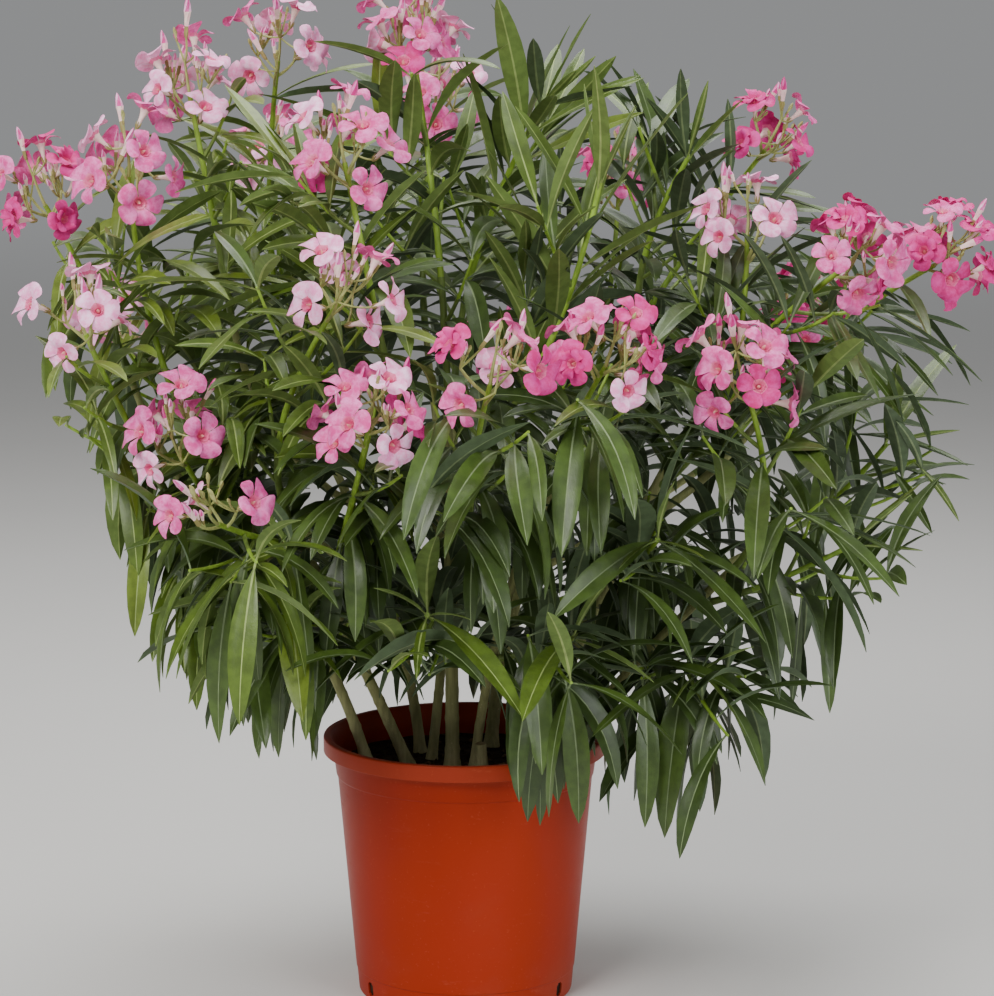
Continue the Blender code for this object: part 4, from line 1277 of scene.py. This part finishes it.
    def add_flower(self, face, aim, branches):
        """One open flower, where it is clear of the others."""
        rand = self.random
        wander = Vector((rand.uniform(-1, 1), rand.uniform(-1, 1), rand.uniform(-1, 1)))
        looks = (aim + wander * FLOWER_WANDER).normalized()
        size = rand.uniform(*FLOWER_SIZE)
        turn = looks.to_track_quat("Z", "Y") @ Quaternion((0, 0, 1), rand.uniform(0, 6.3))
        base = face - looks * (TUBE_LENGTH * size)
        matrix = Matrix.Translation(base) @ turn.to_matrix().to_4x4() @ Matrix.Scale(size, 4)
        disc = flower_disc(matrix)
        if not self.room.inside(self.name, disc, BLOOM_LEAN):
            return False
        if not self.room.claim(disc, BVHTree.FromPolygons(disc.tolist(), DISC_FACES)):
            return False
        tone = self.petal_tone()
        double = tone == "petal_deep" and rand.random() < DOUBLE_SHARE
        points, faces, words = rand.choice(DOUBLES if double else FLOWERS)
        moved = points @ np.array(matrix.to_3x3()).T + np.array(matrix.translation)
        named = np.where(words == "petal", tone, words)
        self.blossom.add(moved, faces, named)
        branch = min(branches, key=lambda end: (end - base).length)
        self.add_stalk(branch, base + looks * 0.001, (0.0009, 0.0010), bow=0.15)
        return True

    def add_bud(self, branch, aim, length):
        """A small bud, pink or, where it is shorter still, green."""
        rand = self.random
        base = branch + aim * rand.uniform(0.006, 0.022)
        end = base + (aim + UP * 0.5).normalized() * length
        if not self.room.inside(self.name, np.array([base, end]), BLOOM_LEAN):
            return
        self.add_stalk(branch, base, (0.0009, 0.0009))
        tones = ("petal_pale", "petal_pink") if length > GREEN_BUD else ("bud_green", "bud_green")
        bud_form(self.blossom, base, end, tones)

    def add_tall_bud(self, branches, axis):
        """A bud about to open, long and streaked, that stands clear of the flowers."""
        rand = self.random
        for _ in range(TALL_BUD_TRIES):
            branch = rand.choice(branches)
            aim = spread(axis, rand.uniform(0.0, 1.0), rand.uniform(0, 2 * math.pi))
            base = branch + aim * rand.uniform(0.010, 0.024)
            end = base + (aim + UP * 0.4).normalized() * rand.uniform(*TALL_BUD)
            line = np.array([base, base.lerp(end, 0.5), end])
            if not self.room.inside(self.name, line, BLOOM_LEAN):
                continue
            if not self.room.claim(*tube_solid(line, [TALL_BUD_SLACK] * len(line))):
                continue
            self.add_stalk(branch, base, (0.0011, 0.0010))
            deep = self.depth + rand.gauss(0, PETAL_TONE_SPREAD) > DEEP_BUD
            tones = ("petal_pink", "petal_deep") if deep else ("petal_pale", "petal_pink")
            bud_form(self.blossom, base, end, tones)
            return


BUD_ROWS = np.array((0.0, 0.10, 0.28, 0.46, 0.64, 0.80, 0.92, 1.0))
BUD_WIDTH = np.array((0.45, 0.62, 0.55, 0.72, 1.0, 0.86, 0.50, 0.10))


def bud_form(bundle, base, end, tones):
    """A furled bud: a six-sided spindle, twisted and streaked, on a short green calyx."""
    start = np.array(base)
    stop = np.array(end)
    length = float(np.linalg.norm(stop - start))
    points = start + (stop - start) * BUD_ROWS[:, None]
    _, across, over = carried_frames(points)
    radius = BUD_WIDTH * (0.0010 + 0.062 * length)
    angle = circle(6)
    turn = angle[None, :] + BUD_ROWS[:, None] * 2.2
    ring = np.cos(turn)[:, :, None] * across[:, None, :]
    ring = ring + np.sin(turn)[:, :, None] * over[:, None, :]
    lobed = radius[:, None] * (1 + 0.12 * np.cos(3 * angle))[None, :]
    skin = points[:, None, :] + ring * lobed[:, :, None]
    faces, places = skin_faces(len(points), 6)
    row = places[:, 0]
    streaked = np.where(places[:, 1] % 2, tones[0], tones[1])
    words = np.where(row < 2, "calyx", streaked)
    if tones[0] != "bud_green":
        words = np.where((row >= 2) & (row < 4), "tube", words)
    bundle.add(skin.reshape(-1, 3), faces, words)


# A flower's funnel, up its outside and down its inside, and its inner whorl where it is double.
THROAT = 0.0046
FUNNEL_HEIGHTS = np.array((0.0, 0.004, 0.010, 0.016, TUBE_LENGTH, 0.0165, 0.0105, 0.006))
FUNNEL_RADII = np.array((0.0011, 0.0015, 0.0020, 0.0034, THROAT, 0.0031, 0.0016, 0.0004))
INNER_SIZE = 0.62
INNER_RISE = 0.0042

# The stand-in for a flower in the tests: a five-cornered funnel.
DISC_RADIUS = 0.0152
DISC_FACES = [(0, 1, 2), (0, 2, 3), (0, 3, 4), (0, 4, 5), (0, 5, 1)]
DISC_FACES += [(6, 2, 1), (6, 3, 2), (6, 4, 3), (6, 5, 4), (6, 1, 5)]


def flower_disc(matrix):
    """The corners of the stand-in: its foot, its edge and its middle."""
    corners = [Vector((0, 0, TUBE_LENGTH * 0.55))]
    for index in range(PETALS):
        angle = 2 * math.pi * index / PETALS
        edge = (DISC_RADIUS * math.cos(angle), DISC_RADIUS * math.sin(angle), TUBE_LENGTH * 1.1)
        corners.append(Vector(edge))
    corners.append(Vector((0, 0, TUBE_LENGTH)))
    return np.array([matrix @ corner for corner in corners])


def merged(parts):
    """Parts as one: all their points, all their faces and a word for each face."""
    points, faces, words = [], [], []
    for part_points, part_faces, part_words in parts:
        faces.append(part_faces + sum(map(len, points)))
        words.append(np.broadcast_to(part_words, len(part_faces)))
        points.append(part_points)
    return np.concatenate(points), np.concatenate(faces), np.concatenate(words)


def flower_form(seed, double=False):
    """An open flower up the Z axis: calyx, tube, throat, fringe, and five twisted petals.

    A double flower has a second, smaller whorl of petals that stands up inside the first.
    """
    rand = random.Random(seed)
    skin = flat_ring(10) * FUNNEL_RADII[:, None, None]
    skin = skin + np.array(UP) * FUNNEL_HEIGHTS[:, None, None]
    faces, places = skin_faces(*skin.shape[:2])
    parts = [(skin.reshape(-1, 3), faces, np.where(places[:, 0] < 4, "tube", "throat"))]

    ring = flat_ring(20)
    tall = np.where(np.arange(20) % 2, 0.0030, 0.0012)
    low = ring * (THROAT - 0.0012) + (0, 0, TUBE_LENGTH - 0.002)
    high = ring * (THROAT + 0.0004) + side_by_side(0, 0, TUBE_LENGTH + tall)
    inner = ring * (THROAT - 0.0006) + (0, 0, TUBE_LENGTH - 0.001)
    faces, _ = skin_faces(3, 20, False, False)
    parts.append((np.concatenate([low, high, inner]), faces, "throat"))

    cone = np.array(((0, 0, 0.010), (0, 0, TUBE_LENGTH - 0.002), (0, 0, TUBE_LENGTH + 0.0025)))
    skin, faces, _ = tube(cone, (0.0012, 0.0017, 0.0003), 6)
    parts.append((skin, faces, "anther"))

    for index in range(PETALS):
        spin = 2 * math.pi * index / PETALS
        parts.append(sepal_form(spin))
        parts.append(petal_form(spin, THROAT, rand))
        if double:
            between = spin + math.pi / PETALS
            parts.append(petal_form(between, THROAT * 0.7, rand, INNER_SIZE, INNER_RISE))
    return merged(parts)


def turned(points, spin):
    cos, sin = math.cos(spin), math.sin(spin)
    return points @ np.array(((cos, sin, 0), (-sin, cos, 0), (0, 0, 1)))


def sepal_form(spin):
    line = np.array(((0.0006, 0, 0), (0.0020, 0, 0.003), (0.0026, 0, 0.0065)))
    skin, faces, _ = tube(line, (0.0009, 0.0009, 0.0002), 4)
    return turned(skin, spin), faces, "calyx"


PETAL_KEEL = 0.0004
PETAL_SKEW = 0.0022
PETAL_ROWS = np.array((0.0, 0.16, 0.34, 0.52, 0.70, 0.85, 0.95, 1.0))
PETAL_WIDTH = np.array((0.30, 0.42, 0.66, 0.88, 1.0, 0.90, 0.62, 0.30))


def petal_form(spin, rim, rand, size=1.0, raised=0.0):
    """A petal springs from the throat, arches over and turns down a little at its tip."""
    length = PETAL_LENGTH * rand.uniform(0.94, 1.05) * size
    lift = rand.uniform(0.0004, 0.0044) + raised
    start = np.array((rim * 0.9, 0, TUBE_LENGTH - 0.0006))
    control = np.array((rim + length * 0.42, 0, TUBE_LENGTH + 0.0062 + lift))
    end = np.array((rim + length, 0, TUBE_LENGTH + lift))
    rib = bezier(start, control, end, PETAL_ROWS)
    rib = rib + side_by_side(0, PETAL_ROWS**2 * PETAL_SKEW, 0)
    width = PETAL_HALF_WIDTH * PETAL_WIDTH * rand.uniform(0.95, 1.06) * size
    roll = blend(0.12, 0.34, PETAL_ROWS)
    across = side_by_side(0, np.cos(roll), np.sin(roll))
    columns = np.array((1, MID_BLADE, 0, -MID_BLADE, -1))
    cup = blend(0.30, -0.06, PETAL_ROWS) + rand.uniform(-0.05, 0.05)
    ripple = 0.06 * np.sin(PETAL_ROWS * 9 + rand.uniform(0, 6))
    lifts = side_by_side(cup + ripple, 0.34 * cup, 0, 0.34 * cup, cup - ripple)
    keel = np.full(len(PETAL_ROWS), PETAL_KEEL)
    skin, faces, places = sheet(rib, across, width, columns, lifts, keel)
    words = np.where(places[:, 0] < 1, "throat", "petal")
    return turned(skin, spin), faces, words


FLOWERS = [flower_form(seed) for seed in FLOWER_SEEDS]
DOUBLES = [flower_form(seed, True) for seed in DOUBLE_SEEDS]


# ---------------------------------------------------------------- canes, pot and compost


def add_cane(name, path, radius, tip_radius, foot, seed, finishes):
    """A cane or bough with its bark: swollen nodes with leaf scars, and shallow furrows."""
    rand = random.Random(seed)
    length = path.length()
    shares = np.linspace(0, 1, int(length / CANE_ROW))
    points = path.line(shares)
    if foot:
        below = points[0] - tangents(points)[0] * FOOT_SUNK
        points = np.concatenate([[below], points])
        shares = np.concatenate([[0], shares])
    width = blend(radius, tip_radius, shares)
    if foot:
        rise = np.maximum(0, 1 - (points[:, 2] - SOIL_TOP) / FLARE_HEIGHT)
        width = width * (1 + (FLARE - 1) * np.minimum(rise, 1.1) ** 2)
    along = shares * length
    column = circle(CANE_SIDES)
    relief = np.ones((len(points), CANE_SIDES))
    shift = rand.uniform(0, 50)
    for row, reach in enumerate(along):
        for col, angle in enumerate(column):
            x, y = math.cos(angle), math.sin(angle)
            coarse = noise.noise(Vector((x * 1.4 + shift, y * 1.4, reach * 60)))
            fine = noise.noise(Vector((x * 3.4, y * 3.4 + shift, reach * 35)))
            relief[row, col] += FURROWS[0] * coarse + FURROWS[1] * fine
    place = rand.uniform(0.010, NODE_STEP)
    turn = rand.uniform(0, 2)
    while place < length - 0.004:
        near = np.exp(-(((along - place) / NODE_WIDTH) ** 2))
        relief += NODE_SWELL * near[:, None]
        groove = np.exp(-(((along - place - GROOVE_ABOVE) / GROOVE_WIDTH) ** 2))
        relief -= GROOVE_DEPTH * groove[:, None]
        for index in range(LEAVES_IN_WHORL):
            away = np.cos(column - turn - index * 2 * math.pi / LEAVES_IN_WHORL)
            scar = np.exp(-((1 - away) / SCAR_SPREAD))
            relief += SCAR_SWELL * near[:, None] * scar[None, :]
        place += NODE_STEP * rand.uniform(0.75, 1.35)
        turn += WHORL_TURN
    bundle = Bundle()
    skin, faces, _ = tube(points, width, CANE_SIDES, relief)
    bundle.add(skin, faces, "cane_bark")
    label = name.replace("stem", "cane") + "_bark"
    bundle.piece(label, finishes, [name], "bark", math.radians(70))


def add_stub(finishes):
    """The stub of a cane that was cut back, dry and open at its cut."""
    start = np.array((*STUB_FOOT, SOIL_TOP - 0.004))
    shares = np.linspace(0, 1, STUB_ROWS)
    points = start + np.array(STUB_RUN) * shares[:, None]
    width = STUB_RADIUS * (1.16 - 0.2 * shares)
    relief = np.ones((STUB_ROWS, STUB_SIDES))
    for row in range(STUB_ROWS):
        for col in range(STUB_SIDES):
            relief[row, col] += 0.10 * noise.noise(Vector((col * 0.9, row * 0.7, 3)))
    bundle = Bundle()
    skin, faces, _ = tube(points, width, STUB_SIDES, relief)
    # The faces of its two ends come after those of its side.
    ends = np.arange(len(faces)) >= 2 * (STUB_ROWS - 1) * STUB_SIDES
    bundle.add(skin, faces, np.where(ends, "cut_wood", "cane_bark"))
    bundle.piece("cut_stub", finishes, [], "bark", math.radians(50))


def inner_radius(z):
    return blend(FOOT_RADIUS, TOP_RADIUS, z / (POT_HEIGHT - LIP_DROP)) - WALL


def outer_radius(z):
    radius = blend(FOOT_RADIUS + FOOT_STEP, TOP_RADIUS, z / (POT_HEIGHT - LIP_DROP))
    return radius + (STEP_DEPTH if z > STEP_Z else 0)


def rounded(before, corner, after, size, steps=4):
    """Points that round a profile's corner off."""
    before, corner, after = Vector(before), Vector(corner), Vector(after)
    start = corner + (before - corner).normalized() * size
    end = corner + (after - corner).normalized() * size
    arc = Path(start, corner, end)
    return [tuple(arc.at(index / steps)) for index in range(steps + 1)]


def pot_profile():
    """The pot's section from the middle of its floor, up inside, over the lip and down outside."""
    lip_low = POT_HEIGHT - LIP_DROP
    corners = [
        (0, FLOOR, 0),
        (inner_radius(FLOOR), FLOOR, 0.003),
        (inner_radius(lip_low), lip_low, 0.003),
        (LIP_RADIUS - LIP_THICKNESS, POT_HEIGHT, 0.0013),
        (LIP_RADIUS, POT_HEIGHT, 0.0019),
        (LIP_RADIUS, lip_low, 0.0008),
        (LIP_RADIUS - LIP_WALL, lip_low, 0.0006),
        (outer_radius(lip_low) + LIP_WALL, POT_HEIGHT - 2 * LIP_WALL, 0.001),
        (outer_radius(STEP_Z + STEP_DEPTH), STEP_Z + STEP_DEPTH, 0.0006),
        (outer_radius(STEP_Z), STEP_Z - 0.0004, 0.0005),
        (outer_radius(FOOT_Z), FOOT_Z + STEP_DEPTH / 2, 0.0005),
        (outer_radius(FOOT_Z) - FOOT_STEP, FOOT_Z, 0.0003),
        (FOOT_RADIUS, 0, 0.0022),
        (0, 0, 0),
    ]
    points = []
    for index, (x, z, size) in enumerate(corners):
        if size == 0:
            points.append((x, z))
            continue
        points += rounded(corners[index - 1][:2], (x, z), corners[index + 1][:2], size)
    return points


def turn_profile(name, profile, steps):
    bm = bmesh.new()
    verts = [bm.verts.new((x, 0, z)) for x, z in profile]
    edges = [bm.edges.new(pair) for pair in zip(verts, verts[1:])]
    bmesh.ops.spin(
        bm,
        geom=verts + edges,
        axis=(0, 0, 1),
        cent=(0, 0, 0),
        steps=steps,
        angle=2 * math.pi,
        use_merge=True,
    )
    bmesh.ops.remove_doubles(bm, verts=bm.verts, dist=1e-6)
    bmesh.ops.recalc_face_normals(bm, faces=bm.faces)
    return mesh_from(bm, name)


def add_pot(finishes):
    """The pot's turned shell, with its drain slots cut through the foot of the wall."""
    mesh = turn_profile("pot_shell", pot_profile(), POT_STEPS)
    shell = place_thing("pot_shell", mesh)
    cutters = bpy.data.collections.new("slot_cutters")
    bpy.context.scene.collection.children.link(cutters)
    for index in range(SLOTS):
        angle = 2 * math.pi * (index + 0.5) / SLOTS
        bm = bmesh.new()
        bmesh.ops.create_cube(bm, size=1)
        bmesh.ops.scale(bm, verts=bm.verts, vec=(SLOT_DEPTH, SLOT_WIDTH, SLOT_TOP - SLOT_LOW))
        # The four edges that run through the wall.
        through = [
            edge
            for edge in bm.edges
            if abs(edge.verts[0].co.x - edge.verts[1].co.x) > SLOT_DEPTH / 2
        ]
        bmesh.ops.bevel(bm, geom=through, offset=SLOT_CORNER, segments=3, affect="EDGES")
        x, y = FOOT_RADIUS * math.cos(angle), FOOT_RADIUS * math.sin(angle)
        place = (x, y, (SLOT_TOP + SLOT_LOW) / 2)
        bm.transform(Matrix.Translation(place) @ Matrix.Rotation(angle, 4, "Z"))
        cutters.objects.link(bpy.data.objects.new("slot_cutter", mesh_from(bm, "slot_cutter")))
    modifier = shell.modifiers.new("Slots", "BOOLEAN")
    modifier.operation = "DIFFERENCE"
    modifier.operand_type = "COLLECTION"
    modifier.collection = cutters
    graph = bpy.context.evaluated_depsgraph_get()
    made = bpy.data.meshes.new_from_object(shell.evaluated_get(graph))
    bpy.data.objects.remove(shell)
    for cutter in list(cutters.objects):
        bpy.data.objects.remove(cutter)
    bpy.data.collections.remove(cutters)
    made.materials.clear()
    made.materials.append(finishes["pot_shell_plastic"])
    place_piece("pot_shell", made, ["pot"], math.radians(32))


def soil_height(x, y):
    """The uneven top of the compost: shallow waves, raised a little round each cane."""
    value = noise.noise(Vector((x * 45, y * 45, 1)))
    value += 0.5 * noise.noise(Vector((x * 130, y * 130, 5)))
    raised = 0.0
    for foot, _, _, radius, _ in STEMS.values():
        away = math.hypot(x - foot[0], y - foot[1])
        raised += SOIL_HEAP * math.exp(-((max(0, away - radius) / SOIL_HEAP_REACH) ** 2))
    return SOIL_TOP + SOIL_RELIEF * value + raised - SOIL_SUNK


def add_soil(finishes):
    """The compost bed: its uneven top, its edge against the pot's wall, and its underside."""
    edge = inner_radius(SOIL_TOP) - 0.0004
    rings = []
    angle = circle(SOIL_COLUMNS)
    for radius in [edge * share for share in np.linspace(0.01, 1, SOIL_RINGS)]:
        ring = [(radius * math.cos(a), radius * math.sin(a)) for a in angle]
        rings.append([(x, y, soil_height(x, y)) for x, y in ring])
    for z in (SOIL_TOP - 0.012, FOOT_Z, FLOOR + 0.0008):
        radius = inner_radius(z) - 0.0005
        rings.append([(radius * math.cos(a), radius * math.sin(a), z) for a in angle])
    skin = np.array(rings[::-1])
    faces, _ = skin_faces(len(rings), SOIL_COLUMNS)
    bundle = Bundle()
    bundle.add(skin.reshape(-1, 3), faces, "compost_dark")
    bundle.piece("compost_bed", finishes, ["soil"], "compost", math.radians(60))
    add_crumbs(finishes, edge - 0.004)


def add_crumbs(finishes, most_reach):
    """The crumbs of compost and the chips of bark that lie on the bed."""
    rand = random.Random(CRUMB_SEED)
    bundle = Bundle()
    bm = bmesh.new()
    bmesh.ops.create_icosphere(bm, subdivisions=1, radius=1)
    ball = np.array([vert.co[:] for vert in bm.verts])
    ball_faces = np.array([[vert.index for vert in face.verts] for face in bm.faces])
    bm.free()
    for index in range(CRUMBS + CHIPS):
        chip = index >= CRUMBS
        reach = most_reach * math.sqrt(rand.random())
        around = rand.uniform(0, 2 * math.pi)
        x = reach * math.cos(around)
        y = reach * math.sin(around)
        size = rand.uniform(*(CHIP_SIZE if chip else CRUMB_SIZE))
        shape = CHIP_SHAPE if chip else (1.0, rand.uniform(0.7, 1.0), rand.uniform(0.6, 0.9))
        rough = np.array([rand.uniform(0.72, 1.25) for _ in ball])[:, None]
        turn = Matrix.Rotation(rand.uniform(0, 6.3), 3, "Z")
        turn = turn @ Matrix.Rotation(rand.uniform(-0.5, 0.5), 3, "X")
        points = (ball * rough * np.array(shape) * size) @ np.array(turn).T
        points = points + np.array((x, y, soil_height(x, y) + size * 0.25))
        bundle.add(points, ball_faces, "bark_chip" if chip else "compost_crumb")
    bundle.piece("compost_crumbs", finishes, [], "compost", math.radians(40))


# ---------------------------------------------------------------- the plant


def group_of(tip):
    """Which part of the crown a mass belongs to."""
    if tip[1] > 0.12:
        return "back"
    if tip[0] < -0.13:
        return "left"
    return "right" if tip[0] > 0.15 else "middle"


def add_crown(finishes):
    """Canes, boughs and masses. The masses grow their whorls by turns, the youngest first."""
    limbs = grow_limbs()
    shoots = grow_shoots(limbs)
    room = Room(shoots)
    for index, (name, (path, radius, tip_radius)) in enumerate(limbs.items()):
        add_cane(name, path, radius, tip_radius, name in STEMS, LIMB_SEED + index, finishes)
        shares = np.linspace(0, 1, 24)
        room.stand(*tube_solid(path.line(shares), blend(radius, tip_radius, shares) + LIMB_SLACK))
    groups = {}
    masses = []
    for index, (name, row) in enumerate(MASSES.items()):
        group = group_of(row[2])
        bundles, names = groups.setdefault(group, ((Bundle(), Bundle(), Bundle()), []))
        names.append(name)
        masses.append(Mass(name, row, shoots[name], MASS_SEED + index, room, bundles))
    for mass in masses:
        mass.start()
    most = max(len(mass.whorls) for mass in masses)
    for turn in range(most):
        for mass in masses:
            if turn < len(mass.whorls):
                mass.add_whorl(mass.whorls[turn])
    for mass in masses:
        mass.add_shoots()
    for group, (bundles, names) in groups.items():
        for kind, bundle in zip(("leaves", "twigs", "flowers"), bundles):
            if bundle.points:
                bundle.piece(f"{kind}_{group}", finishes, names, "foliage")


# ---------------------------------------------------------------- stage


FLOOR_REACH = 60
HAZE = (0.63, 0.64, 0.65)
HAZE_STRENGTH = 0.44
HAZE_REACH = (2.2, 11.0)

# Lights: place, what each is aimed at, width and height, power, and tint.
LIGHTS = {
    "key_light": ((-1.6, -2.4, 2.6), (0, 0, 0.5), (1.8, 1.8), 138, (1.0, 0.985, 0.96)),
    "fill_light": ((2.2, -2.2, 1.4), (0, 0, 0.4), (1.6, 2.0), 53, (0.97, 0.985, 1.0)),
    "top_light": ((0.2, 0.9, 2.8), (0, 0, 0.6), (2.2, 1.6), 76, (1.0, 1.0, 1.0)),
}


def add_floor():
    """A grey floor that fades into the haze with distance."""
    bm = bmesh.new()
    bmesh.ops.create_grid(bm, x_segments=1, y_segments=1, size=FLOOR_REACH)
    mesh = mesh_from(bm, "studio_floor")
    floor = place_thing("studio_floor", mesh)
    made = Finish("studio_floor", specular_ior_level=0.2)
    greys = made.colours(made.grain(3.0, 2.0), (0.60, 0.59, 0.57), (0.62, 0.61, 0.59))
    made.feed("Base Color", greys)
    made.feed("Roughness", 0.7 + 0.1 * made.grain(40.0, 2.0))
    away = made.node("ShaderNodeVectorMath", {"operation": "LENGTH"}, "Value", _0=made.place())
    far = made.ramp(away, *HAZE_REACH)
    glow = made.node("ShaderNodeEmission", color=(*HAZE, 1), strength=HAZE_STRENGTH)
    floor_shader = Wire(made, made.shader.outputs[0])
    mixed = made.node("ShaderNodeMixShader", _0=far, _1=floor_shader, _2=glow)
    made.join(made.tree.nodes["Material Output"].inputs["Surface"], mixed)
    mesh.materials.append(made.material)


def add_light(name, place, target, size, power, tint):
    lamp = bpy.data.lights.new(name, "AREA")
    lamp.shape = "RECTANGLE"
    lamp.size, lamp.size_y = size
    lamp.energy = power
    lamp.color = tint
    thing = place_thing(name, lamp)
    thing.location = place
    aim = Vector(target) - Vector(place)
    thing.rotation_euler = aim.to_track_quat("-Z", "Y").to_euler()


def add_studio():
    """The world, the lights and the camera."""
    world = bpy.data.worlds.new("studio")
    world.use_nodes = True
    background = world.node_tree.nodes["Background"]
    background.inputs["Color"].default_value = (*HAZE, 1)
    background.inputs["Strength"].default_value = HAZE_STRENGTH
    bpy.context.scene.world = world
    for name, row in LIGHTS.items():
        add_light(name, *row)
    camera = bpy.data.cameras.new("camera")
    camera.lens = CAMERA_LENS
    camera.sensor_width = CAMERA_SENSOR
    camera.clip_end = CAMERA_FAR
    thing = place_thing("camera", camera)
    thing.location = CAMERA_PLACE
    thing.rotation_euler = (math.pi / 2 - CAMERA_PITCH, 0, 0)
    bpy.context.scene.camera = thing


def main():
    finishes = all_finishes()
    add_pot(finishes)
    add_soil(finishes)
    add_stub(finishes)
    add_crown(finishes)
    add_floor()
    add_studio()


main()
